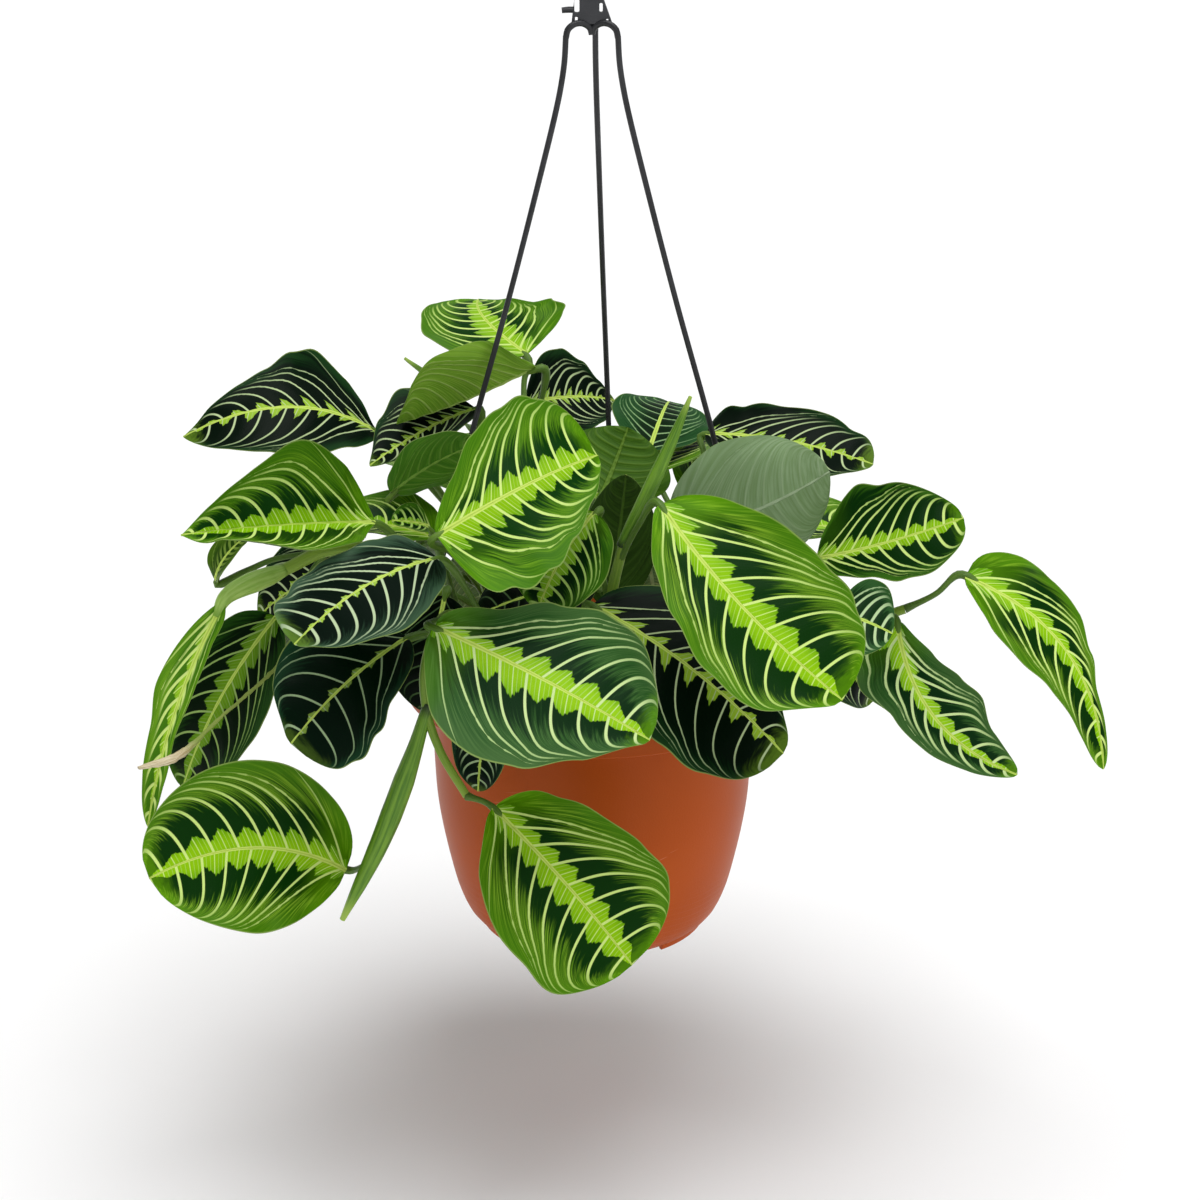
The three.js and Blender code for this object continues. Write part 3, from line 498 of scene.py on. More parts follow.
plate_shape = new_growth()
plate_block = block(plate_shape, PLATE_SIZE, (0, 0, PLATE_BOTTOM + PLATE_SIZE[2] / 2))
for vert in plate_block:
    if vert.co.z > PLATE_BOTTOM + 1:
        vert.co.x = PLATE_TOP_SIDES[vert.co.x > 0]
eased(plate_shape, through_edges(plate_block), 1, 4)
eased(plate_shape, [edge for edge in plate_shape.edges if edge.calc_face_angle(0) > 0.9], 0.35)
plate = shown("hanger_plate", plate_shape, [hub_plastic], 35)
holes = bmesh.new()
for x, z, wide, high in PLATE_HOLES:
    eased(holes, through_edges(block(holes, (wide, 9, high), (x, 0, z))), wide * 0.35, 3)
cut(plate, holes)
placed(plate, ["hook_head"])


# Stems
# Shoots of living tissue, yellow-green and softly waxy. They rise from the soil, arch over the rim
# and trail. Some end in, or carry, a spear: a young leaf that is still rolled up.
STEMS = {
    "front_left": dict(
        points=[(-14, -26, -34), (-21, -36, -8), (-38, -60, 32), (-55, -80, 48), (-62, -86, 32),
                (-62, -87, 15), (-57, -89, -2), (-47, -93, -19)], radii=(2.4, 1.5),
        bud=[(-61, -87, 16), (-67, -88, -4), (-80, -86, -40), (-96, -84, -75)],
        bud_radii=(2.0, 2.9, 4.1, 4.2, 3.6, 2.6, 1.1)),
    "front": dict(
        points=[(12, -24, -34), (12, -38, 0), (7, -58, 44), (12, -64, 72)], radii=(2.2, 1.9),
        bud=[(11, -63.5, 70), (20, -66, 90), (30, -68, 114), (36, -70, 130)],
        bud_radii=(2.0, 2.6, 2.8, 2.7, 2.3, 1.6, 0.7)),
    "centre": dict(points=[(-6, -6, -34), (-8, -12, 6), (-14, -26, 44), (-22, -40, 60)], radii=(2.4, 1.8)),
    "left": dict(
        points=[(-36, -12, -34), (-44, -16, -4), (-58, -29, 36), (-80, -32, 56), (-101, -34, 58),
                (-118, -37, 51)], radii=(2.6, 2.4)),
    "left_top": dict(
        points=[(-30, 10, -34), (-37, 10, 2), (-48, 6, 52), (-56, 3, 86)], radii=(2.5, 1.9),
        bud=[(-55.5, 3, 84), (-58, 22, 97), (-64, 30, 107), (-75, 34, 115)],
        bud_radii=(1.6, 1.9, 1.9, 1.5, 0.6)),
    "top": dict(points=[(-8, 16, -34), (-10, 18, 14), (-19, 18, 62), (-27, 14, 97)], radii=(2.5, 1.8)),
    "right_top": dict(points=[(22, 20, -34), (27, 20, 4), (38, 12, 46), (46, 6, 72)], radii=(2.5, 1.8)),
    "right": dict(
        points=[(36, -8, -34), (46, -14, -4), (63, -34, 26), (86, -42, 30), (108, -43, 33),
                (120, -43, 37)], radii=(2.6, 1.8)),
    "back": dict(points=[(-4, 40, -34), (-5, 48, 0), (-6, 60, 26), (-4, 76, 34)], radii=(2.5, 1.8)),
    "back_left": dict(points=[(-34, 34, -34), (-42, 42, 0), (-52, 52, 26), (-62, 60, 32)], radii=(2.5, 1.8)),
    "back_right": dict(points=[(34, 36, -34), (42, 42, 0), (52, 50, 24), (62, 58, 30)], radii=(2.5, 1.8)),
}
BACK_STEMS = ("back", "back_left", "back_right")


def growth_finish(name, pale, deep, node_colour, tip):
    """Living tissue with streaks along it. Its two ends may have colours of their own."""
    finish = Finish(name, 0.4, specular=0.35)
    grown = finish.attribute("grown", "Vector")
    x, y, share = (grown.part(axis) for axis in "XYZ")
    streaks = finish.noise(finish.vector(x * 2.4, y * 2.4, share * 2.2), 2.0, 4)
    blotches = finish.noise(finish.place(), 90, 2)
    colour = finish.mix(streaks.step(0.3, 0.7), shade(*pale), shade(*deep))
    colour = finish.mix(blotches.step(0.45, 0.75) * 0.4, colour, shade(*pale))
    colour = finish.mix(share.step(0.07, 0.0), colour, shade(*node_colour))
    colour = finish.mix(share.step(0.86, 1.0) * 0.8, colour, shade(*tip))
    return finish.wear(colour, streaks * 0.15 + 0.36, streaks, 0.0003)


stem_skin = growth_finish("stem_skin", (132, 164, 50), (104, 142, 34), (96, 122, 34), (134, 166, 52))
spear_skin = growth_finish("spear_skin", (116, 160, 40), (74, 122, 20), (30, 52, 12), (176, 206, 88))
for name, stem in STEMS.items():
    shape = new_growth()
    root, end = stem["radii"]
    swell = [root, root * 0.92, (root + end) / 2, root * 0.98, end, end * 1.12, end]
    grow_tube(shape, stem["points"], swell, 14, 0, 1.6)
    if "bud" in stem:
        grow_tube(shape, stem["bud"], stem["bud_radii"], 18, 1, 1.4)
    piece = shown(name + "_growth", shape, [stem_skin, spear_skin], 50)
    if name in BACK_STEMS:
        placed(piece, ["shoot_" + name])
    else:
        placed(piece, ["stem_" + name])


# Leaves
# Each leaf is one blade on its own stalk, with a swollen joint between them. The upper side is
# dark green with a lime band of jagged lobes along the midrib and pale side veins that curve to
# the tip. The underside is grey-green. Blades are satin, thin, and slightly quilted between veins.
@dataclass
class Leaf:
    """One leaf. Its stalk leaves its stem, or the stem's bud, at that share of the length, and
    passes via. base and tip are the midrib's ends, and face is the way the upper side looks. Each
    half rises by fold degrees, arch lifts the midrib's middle and bow bends it to the right. broad
    and blunt form the outline, and left and right say how broad each half is, evenly spread from
    stalk to tip. A sheath is a stalk that is thick and pale."""

    stem: str
    at: float
    base: tuple
    tip: tuple
    face: tuple
    width: float
    fold: float
    arch: float
    bow: float = 0
    broad: float = 0.47
    blunt: float = 0.6
    left: tuple = (1, 1)
    right: tuple = (1, 1)
    veins: int = 8
    via: tuple = None
    tone: str = "bright"
    under: str = "soft"
    on_bud: bool = False
    sheath: bool = False


LEAVES = {
    "front_high": Leaf(
        "centre", 0.98, (-56, -98, 86), (2, -62, 105), (3, -7, 7), 64, -4, 0.1, broad=0.55, blunt=0.5,
        left=(0.6, 0.68, 0.85, 0.95, 1.15, 1.6), right=(2.6, 1.5, 1.1, 0.82, 0.62, 0.45),
        via=(-44, -70, 70), tone="fresh"),
    "front_middle": Leaf(
        "front_left", 0.56, (-58, -98, 51), (21, -124, 17), (0, -7, 7), 66, -4, 0.05, blunt=0.5,
        left=(0.65, 0.6, 0.85, 1.05, 1.2, 1.1), right=(0.9, 1.2, 1.2, 1.1, 0.85, 0.4), tone="banded"),
    "front_right": Leaf(
        "front", 0.93, (25, -80, 92), (90, -125, 33), (1, -8, 6), 66, -3, 0.04, bow=0.05, blunt=0.5,
        left=(1, 0.95, 1, 1.05, 1.25, 1.6), right=(0.4, 0.6, 0.7, 0.85, 1, 0.6), via=(17, -70, 80)),
    "front_low": Leaf(
        "front_left", 1, (-37, -99, -21), (15, -114, -79), (3, -9, 5), 66, 5, 0.08, broad=0.56, blunt=0.48,
        left=(1.3, 0.95, 0.9, 0.95, 1.1, 1.3), right=(0.8, 1.1, 1.1, 1.05, 1.2, 1)),
    "front_under": Leaf(
        "front", 0.5, (0, -68, 48), (71, -97, 0), (3, -6, 7), 62, -7, 0.08, blunt=0.52,
        left=(1, 1, 1, 0.9, 0.8, 0.75), right=(1, 1, 1.1, 1.15, 1.4, 1.8), tone="dark"),
    "front_inner": Leaf(
        "front", 0.72, (1, -66, 84), (-20, -80, 50), (-5, -6, 5), 48, -3, 0.08, via=(1, -59, 76),
        tone="inner"),
    # Painted shade: a near-black leaf that fills a dark gap inside the plant.
    "front_shade": Leaf(
        "centre", 0.75, (1, -47, 48), (-44, -54, 38), (0, -4, 9), 38, 0, 0.08, tone="shade_black"),
    "pot_front": Leaf(
        "front_left", 0.38, (-37, -84, 22), (-43, -84, -21), (-3, -9, 2), 24, 10, 0.06, tone="deep"),
    "left_low": Leaf(
        "front_left", 0.72, (-95, -74, -59), (-165, -110, -45), (5, -8, 5), 67, 4, 0.05, bow=0.12,
        broad=0.52, blunt=0.45, on_bud=True),
    "left_front": Leaf(
        "front_left", 0.4, (-57, -80, 71), (-107, -114, 50), (-1, -3, 10), 62, -3, 0.1,
        left=(0.9, 0.95, 1.05, 1.15, 1.1, 0.8), right=(1.4, 0.9, 0.66, 0.76, 0.95, 1.8), tone="grey"),
    "left_hang": Leaf(
        "front_left", 0.48, (-69, -76, 38), (-111, -102, 6), (-3, -6, 7), 58, 2, 0.08, broad=0.52,
        blunt=0.52, left=(0.8, 0.8, 0.8, 1.05, 1.4, 2), right=(0.9, 0.95, 1, 1, 0.95, 0.6), veins=5,
        tone="deep"),
    "left_bright": Leaf(
        "left", 0.5, (-83, -34, 69), (-154, -60, 73), (2, -6, 8), 74, 37, 0.03, broad=0.38, blunt=1.1,
        left=(0.3, 1.1, 1.25, 1.1, 1.1), right=(0.8, 0.82, 0.88, 0.8, 0.8, 0.9), tone="fresh"),
    "left_dark": Leaf(
        "left_top", 0.7, (-84, 2, 94), (-157, -20, 99), (1, -5, 8), 64, -6, 0.21, broad=0.38, blunt=0.8,
        left=(0.5, 0.6, 0.75, 0.85, 0.95, 1.2), right=(0.15, 0.85, 1, 0.85, 0.7, 0.65, 0.6, 0.3),
        tone="dark"),
    "left_deep": Leaf(
        "left", 0.88, (-122, -38, 32), (-160, -48, -36), (-5, -7, 4), 54, 2, 0.08,
        right=(1, 0.85, 0.8, 0.85, 1), tone="shaded"),
    "left_outer": Leaf(
        "left", 1, (-140, -54, 44), (-168, -88, -34), (-1, -8, 2), 22, 8, 0.03, bow=0.04, blunt=0.7,
        left=(1, 0.5, 0.42, 0.3, 0.5, 0.7), right=(0.9, 0.95, 0.95, 0.7, 0.75, 0.9), tone="folded",
        sheath=True),
    "left_small": Leaf(
        "left", 0.9, (-146, -30, 44), (-132, -31, 63), (-8, -6, 3), 15, 16, 0.12, via=(-124, -29, 52),
        tone="olive_top"),
    # Painted shade: a near-black leaf inside the plant.
    "left_under": Leaf("left", 0.5, (-56, -50, 45), (-63, -58, 0), (-2, -9, 3), 38, 0, 0.08, tone="shade_black"),
    "left_shade": Leaf("left_top", 0.4, (-90, 8, 41), (-134, 4, 16), (-3, -4, 8), 48, 0, 0.08, tone="dark"),
    "top": Leaf(
        "top", 1, (-26, 29, 118), (-47, 76, 128), (-0.5, -1.5, 9.5), 60, 0, 0.08, bow=-0.13, blunt=0.5,
        left=(1.1, 1.1, 1, 0.88, 0.8, 0.8), right=(1.5, 1.25, 0.95, 0.75, 0.62, 0.5), via=(-27, 24, 109),
        tone="fresh"),
    "top_folded": Leaf(
        "top", 0.92, (-22, 3, 120.5), (-76, -6, 100), (0, 4, 9), 55, 31, -0.03,
        right=(0.4, 0.75, 0.9, 0.85, 0.9), under="bright_under"),
    "top_dark": Leaf(
        "top", 0.8, (-27, 62, 88), (9, 82, 83), (2, -7, 7), 44, 10, 0.1,
        left=(0.9, 1.05, 0.95, 0.72, 0.5, 0.35), right=(1, 1, 0.75, 0.4), tone="dark"),
    "top_jagged": Leaf(
        "left_top", 0.85, (-46, 11, 101), (-86, -16, 86), (-1, -3, 9), 46, 4, 0.05,
        left=(0.5, 0.6, 0.7, 0.5), right=(1.2, 1.1, 0.8, 0.4), tone="dark"),
    "top_pale": Leaf(
        "left_top", 0.5, (-76, -46, 85), (-41, -42, 104), (-4, 7, 6), 38, -4, 0.06, via=(-64, -24, 84),
        tone="grey", under="mid"),
    "left_bud": Leaf(
        "left", 0.3, (-62, -50, 73), (-75, -58, 78), (0, -6, 8), 16, 20, 0.05, veins=4, tone="inner"),
    "middle_olive": Leaf(
        "centre", 0.6, (4, -14, 74), (14, 2, 96), (1, 9, -4), 46, 0, 0.06, tone="dark", under="olive"),
    "middle_deep": Leaf(
        "centre", 0.7, (6, -40, 36), (13, -27, 86), (2, 9, -2), 30, 0, 0.05, tone="dark", under="olive_in_shade"),
    "right_back": Leaf(
        "right_top", 0.75, (23, 42, 74), (32, 90, 80), (2, -2, 10), 42, -6, 0.1, tone="plain"),
    "right_top": Leaf(
        "right_top", 1, (45, 16, 89), (110, -2, 82), (-1, -4, 9), 46, 6, 0.06,
        left=(1.5, 0.8, 0.7, 0.75, 0.8, 1.5), right=(1, 1, 1.1, 1.1, 1.2, 0.8), via=(44, 12, 83),
        tone="dark"),
    "right_pale": Leaf(
        "right_top", 0.6, (30, -48, 68), (90, -38, 91), (-2, 10, 2), 60, 6, -0.08, blunt=0.5,
        left=(1, 1, 1.05, 1.15, 1.2, 1.1), under="whitish"),
    "right_middle": Leaf(
        "right", 0.55, (86, -36, 55), (140, -52, 77), (-4, -5, 8), 54, 0, 0.04, bow=0.06, blunt=0.48,
        left=(1.2, 1.15, 0.97, 0.95, 0.9), right=(0.3, 0.5, 0.62, 0.85, 1.1, 1.1), tone="rich"),
    "right_under": Leaf(
        "right", 0.62, (78, -10, 26), (112, -12, -14), (6, -6, 5), 48, 2, 0.1, via=(74, -24, 31),
        tone="dark"),
    "right_small": Leaf(
        "right", 0.72, (91, -74, 48), (112, -77, 40), (2, -7, 7), 34, 4, 0.05, veins=5, tone="soft_dark"),
    "right_hang": Leaf(
        "right", 0.86, (116, -56, 37), (161, -80, -16), (-2, -8, 4), 52, -3, 0.08, bow=0.15, broad=0.45,
        blunt=0.5, left=(0.3, 0.5, 0.65, 0.75, 0.57, 0.5), right=(2.2, 0.9, 0.5, 0.45, 0.37, 0.3),
        tone="banded"),
    "right_outer": Leaf(
        "right", 1, (143, -40, 49), (196, -66, -20), (5, -6, 5), 46, -8, 0.1, bow=-0.13, broad=0.42,
        left=(1.4, 1.2, 0.9, 0.8, 0.5, 0.25, 0.3, 0.4), right=(0.7, 0.9, 0.95, 0.8, 0.8, 0.9),
        via=(132, -42, 43)),
    "back_middle": Leaf("back", 0.7, (0, 77, 40), (-4, 144, 32), (0, 2, 10), 62, 4, 0.1),
    "back_right": Leaf("back_right", 0.7, (44, 54, 48), (84, 112, 46), (1, 1, 10), 60, 4, 0.1),
    "back_left": Leaf("back_left", 0.7, (-42, 54, 50), (-84, 112, 48), (-1, 1, 10), 60, 4, 0.1),
    "back_right_side": Leaf("back_right", 0.6, (66, 36, 36), (130, 66, 26), (2, 1, 9), 58, 4, 0.1),
    "back_left_side": Leaf("back_left", 0.6, (-64, 36, 38), (-128, 66, 26), (-2, 1, 9), 58, 4, 0.1),
    "back_inner_right": Leaf(
        "back_right", 0.72, (20, 44, 62), (54, 82, 68), (0, 1, 10), 50, 4, 0.1, via=(38, 44, 40)),
    "back_inner_left": Leaf(
        "back_left", 0.72, (-16, 48, 62), (-46, 90, 70), (0, 1, 10), 50, 4, 0.1, via=(-36, 46, 42)),
    "back_side_low_right": Leaf(
        "back_right", 0.64, (86, 20, 28), (122, 34, -16), (8, 3, 4), 50, 4, 0.1, via=(70, 28, 30)),
    "back_side_low_left": Leaf(
        "back_left", 0.64, (-88, 24, 28), (-124, 40, -24), (-8, 3, 4), 50, 4, 0.1, via=(-72, 32, 30)),
    "back_low_right": Leaf("back", 1, (20, 88, 26), (32, 112, -52), (1, 9, 3), 60, 4, 0.08),
    "back_low_left": Leaf("back", 0.9, (-26, 88, 24), (-44, 116, -48), (-2, 9, 3), 58, 4, 0.08),
    "back_hang_right": Leaf("back_right", 1, (68, 70, 24), (94, 98, -40), (6, 7, 3), 58, 4, 0.08),
    "back_hang_left": Leaf("back_left", 1, (-70, 68, 26), (-102, 92, -34), (-6, 7, 3), 58, 4, 0.08),
}
BLADE_STEPS = 60
BLADE_COLUMNS = 32
BLADE_THICKNESS = 0.5
BLADE_LAYERS = ("along", "across", "veins", "number", "cell", "half")


def side_vein(u, v, length, half, veins):
    """Where a point lies between side veins, and how far apart in millimetres they are there"""
    out = abs(v)
    start = 0.30 * out + 0.42 * out ** 3
    slope = 0.30 + 1.26 * out ** 2
    if u > start:
        place = (u - start) / (1 - start) * veins
        spacing, lean = length * (1 - start) / veins, slope * (1 - place / veins)
    else:
        place = u / max(start, 1e-6) - 1
        spacing, lean = length * start, slope * u / max(start, 1e-6)
    return place, spacing * half / math.hypot(half, length * lean)


def share_at(shares, u):
    """The value at u of a list that is spread evenly from stalk to tip, with soft changes"""
    slot = min(u * (len(shares) - 1), len(shares) - 1.001)
    whole = int(slot)
    part = (slot - whole) ** 2 * (3 - 2 * (slot - whole))
    return shares[whole] + (shares[whole + 1] - shares[whole]) * part


def blade_surface(leaf):
    """The blade's middle surface as a function. u runs from stalk to tip, v from edge to edge."""
    base = Vector(leaf.base)
    along = Vector(leaf.tip) - base
    length = along.length
    along.normalize()
    up = Vector(leaf.face)
    up = (up - along * up.dot(along)).normalized()
    lean = up * leaf.arch + along.cross(up) * leaf.bow
    skew = math.log(0.5) / math.log(leaf.broad)

    def surface(u, v, lift):
        out, sign = abs(v), (v > 0) - (v < 0)
        form = max(math.sin(math.pi * u ** skew), 0) ** leaf.blunt
        share = share_at(leaf.right if v > 0 else leaf.left, u)
        half = max(leaf.width / 2 * form * share, 0.25)
        bend = math.radians(leaf.fold * min(1, 6 * u, 6 * (1 - u)) + 8 * out ** 2)
        wave = 0.01 * leaf.width * out ** 2 * math.sin(math.pi * (5 * u + (0.4 if v > 0 else 1.1)))
        wave *= min(1, half / 12)
        heading = (along + lean * 4 * (1 - 2 * u)).normalized()
        rise = (up - heading * up.dot(heading)).normalized()
        across = heading.cross(rise) * sign
        point = base + along * length * u + lean * length * 4 * u * (1 - u)
        point += across * out * half * math.cos(bend) + rise * (out * half * math.sin(bend) + wave)
        ripple = noise.noise(point * 0.09 + base) * out ** 2 * 0.9 * min(1, half / 12)
        normal = rise * math.cos(bend) - across * math.sin(bend)
        return point + rise * ripple + normal * lift, rise, half, length

    return surface


def grow_blade(bm, leaf, number):
    """Adds the blade: a grid that is given a second side and then moved to its form"""
    layers = [bm.verts.layers.float[name] for name in BLADE_LAYERS]
    surface = blade_surface(leaf)
    made = bmesh.ops.create_grid(bm, x_segments=BLADE_STEPS, y_segments=BLADE_COLUMNS, size=1)["verts"]
    under = around(made, "link_faces")
    raised = bmesh.ops.extrude_face_region(bm, geom=under, use_keep_orig=True)["geom"]
    upper_verts = {item for item in raised if isinstance(item, bmesh.types.BMVert)}
    for face in under:
        face.material_index = 1
    for vert in bm.verts:
        even = (vert.co.x + 1) / 2
        u = 0.6 * even + 0.4 * (0.5 - 0.5 * math.cos(math.pi * even))
        v = -math.copysign(abs(vert.co.y) ** 1.25, vert.co.y) if vert.co.y else 0.0
        half, length = surface(u, v, 0)[2:]
        place, cell = side_vein(u, v, length, half, leaf.veins)
        between = (place + (0.5 if v > 0 else 0)) % 1
        quilt = 0.32 * min(1, cell / 4) * (math.sin(math.pi * between) - 0.5) * min(1, 6 * (1 - abs(v)))
        keel = -0.5 * max(0, 1 - abs(v) * half / 1.2) * (1 - u)
        body = BLADE_THICKNESS * (1 - 0.5 * abs(v) ** 3) / 2
        lift = quilt + (body if vert in upper_verts else keel - body)
        vert.co = surface(u, v, lift)[0]
        for layer, value in zip(layers, (u, v, leaf.veins, number, cell, half)):
            vert[layer] = value
    bmesh.ops.recalc_face_normals(bm, faces=bm.faces)


def stalk_line(leaf):
    """The points that a leaf's stalk passes, from the middle of the stem to the blade"""
    base = Vector(leaf.base)
    along = (Vector(leaf.tip) - base).normalized()
    root, rise = blade_surface(leaf)(0.07, 0, 0)[:2]
    grows_from = STEMS[leaf.stem]["bud" if leaf.on_bud else "points"]
    start = smooth_line(grows_from, 101)[round(100 * leaf.at)]
    passed = [Vector(leaf.via)] if leaf.via else []
    return [start, *passed, base - along * 2.5 - rise * 2, root - rise * 0.7]


def blade_places(finish):
    """Where a point lies on its blade: from the stalk, from the rib, and between side veins"""
    along, across, veins, number, cell, half = map(finish.attribute, BLADE_LAYERS)
    out = abs(across)
    start = out * 0.30 + out * out * out * 0.42
    inner = (along - start).math("DIVIDE", 1 - start) * veins
    outer = along.math("DIVIDE", start.math("MAXIMUM", 0.001)) - 1
    place = outer + (inner - outer) * (along > start) + number * 40
    return along, out, place + (across > 0) * 0.5, cell, out * half


def upper_finish(name, lime, lime_edge, blotch, field, streak, margin, vein, reach=1.0, spike=0.0,
                 vein_width=1.0, dark_reach=0.5, glow=0.0):
    """The upper side of a blade. glow is how much lime there is round the stalk."""
    finish = Finish(name, 0.36, specular=0.05)
    along, out, counted, cell, from_rib = blade_places(finish)
    between = counted.math("FRACT")
    row = counted.math("FLOOR")
    chance = finish.node("ShaderNodeTexWhiteNoise", {"noise_dimensions": "1D"}, {"W": row})
    feather = finish.noise(finish.vector(counted * 9, out * 2.4 + row * 3.1, 0.0), 1.0, 3)
    fine = finish.noise(finish.vector(counted * 30, out * 3 + row * 1.7, 0.0), 1.0, 2)
    soft = finish.noise(finish.place(), 26, 2)

    lobe = between.graph((0, 0.60), (0.08, 0.66), (0.14, 0.76), (0.24, 0.82), (0.27, 0.91), (0.38, 0.94),
                         (0.46, 1.0), (0.50, 0.90), (0.60, 0.86), (0.64, 0.75), (0.76, 0.70),
                         (0.80, 0.58), (0.92, 0.52), (1, 0.46))
    lobe = ((lobe - spike) * (1 / (1 - spike))).math("MAXIMUM", 0)
    envelope = along.graph((0, 0.7), (0.05, 0.5), (0.12, 0.34), (0.25, 0.28), (0.6, 0.26), (0.82, 0.26),
                           (0.93, 0.19), (1, 0.04))
    band_reach = envelope * lobe * (chance * 0.3 + 0.85) * reach + (feather - 0.5) * 0.07
    band = (band_reach - out).step(-0.012, 0.012)

    dark_end = chance * 0.22 + (feather - 0.5) * 0.9 + (soft - 0.5) * 0.5 + dark_reach
    dark = (dark_end - out).step(-0.16, 0.14)
    colour = finish.mix(fine.step(0.40, 0.74), shade(*field), shade(*streak))
    colour = finish.mix((out + (feather - 0.5) * 0.2).step(0.72, 0.96) * 0.75, colour, shade(*margin))
    colour = finish.mix(dark, colour, shade(*blotch))
    ends = along.step(0.26, 0.05) * (soft.step(0.3, 0.6) * 0.5 + 0.5) * glow
    tip_light = (along + (feather - 0.5) * 0.1).step(0.90, 0.98) * 0.55
    colour = finish.mix(ends.math("MAXIMUM", tip_light), colour, shade(*lime_edge))

    inner = (between * 6).math("FRACT")
    pale_lines = abs(inner - 0.5).step(0.36, 0.5) * 0.35
    lit = finish.mix((out * 3 + (feather - 0.5) * 0.8).step(0.2, 1.0), shade(*lime), shade(*lime_edge))
    lit = finish.mix(pale_lines, lit, shade(*vein))
    colour = finish.mix(band, colour, lit)

    to_main = between.math("MINIMUM", 1 - between) * cell
    width = out.graph((0, 0.50), (0.3, 0.52), (0.6, 0.44), (0.88, 0.32), (0.97, 0.1)) * vein_width
    main = (width - to_main).step(-0.12, 0.14) * cell.step(0.9, 2.0)
    to_second = abs(between - 0.5) * cell
    second = (0.15 - to_second).step(-0.12, 0.06) * band * cell.step(1.2, 2.4)
    outer_vein = shade(*[(part + 2 * pale) / 3 for part, pale in zip(field, vein)])
    vein_colour = finish.mix(out.step(0.35, 1.0), shade(*vein), outer_vein)
    colour = finish.mix(main.math("MAXIMUM", second * 0.8), colour, vein_colour)

    rib = (0.95 - along * 0.6 - from_rib).step(-0.08, 0.1)
    rib_colour = finish.mix((0.16 - from_rib).step(-0.1, 0.05) * 0.4, shade(200, 226, 104),
                            shade(130, 156, 52))
    colour = finish.mix(rib, colour, rib_colour)
    edge = out.step(0.978, 0.992) * 0.6
    colour = finish.mix(edge, colour, shade(150, 172, 92))
    relief = main * -0.35 - rib * 0.5 + fine * 0.15 + feather * 0.15
    return finish.wear(colour, fine * 0.1 + main * 0.08 + 0.32, relief, 0.00025)


def under_finish(name, skin, pale, vein, depth=0.0003, veined=0.7):
    """The underside of a blade: one soft colour with raised paler veins"""
    finish = Finish(name, 0.5, specular=0.12)
    along, out, counted, cell, from_rib = blade_places(finish)
    between = counted.math("FRACT")
    feather = finish.noise(finish.vector(counted * 7, out * 1.6, 0.0), 1.0, 3)
    to_main = between.math("MINIMUM", 1 - between) * cell
    main = (0.42 - out * 0.25 - to_main).step(-0.2, 0.15) * cell.step(0.7, 1.6)
    fine = abs((between * 6).math("FRACT") - 0.5).step(0.3, 0.5)
    rib = (1.1 - along * 0.7 - from_rib).step(-0.15, 0.15)
    colour = finish.mix(feather.step(0.35, 0.7), shade(*skin), shade(*pale))
    colour = finish.mix(fine * veined * 0.25, colour, shade(*vein))
    colour = finish.mix(main * veined, colour, shade(*vein))
    colour = finish.mix(rib, colour, shade(*vein))
    relief = (main * 0.7 + fine * 0.2 + feather * 0.2) * veined + rib
    return finish.wear(colour, feather * 0.2 + 0.4, relief, depth)


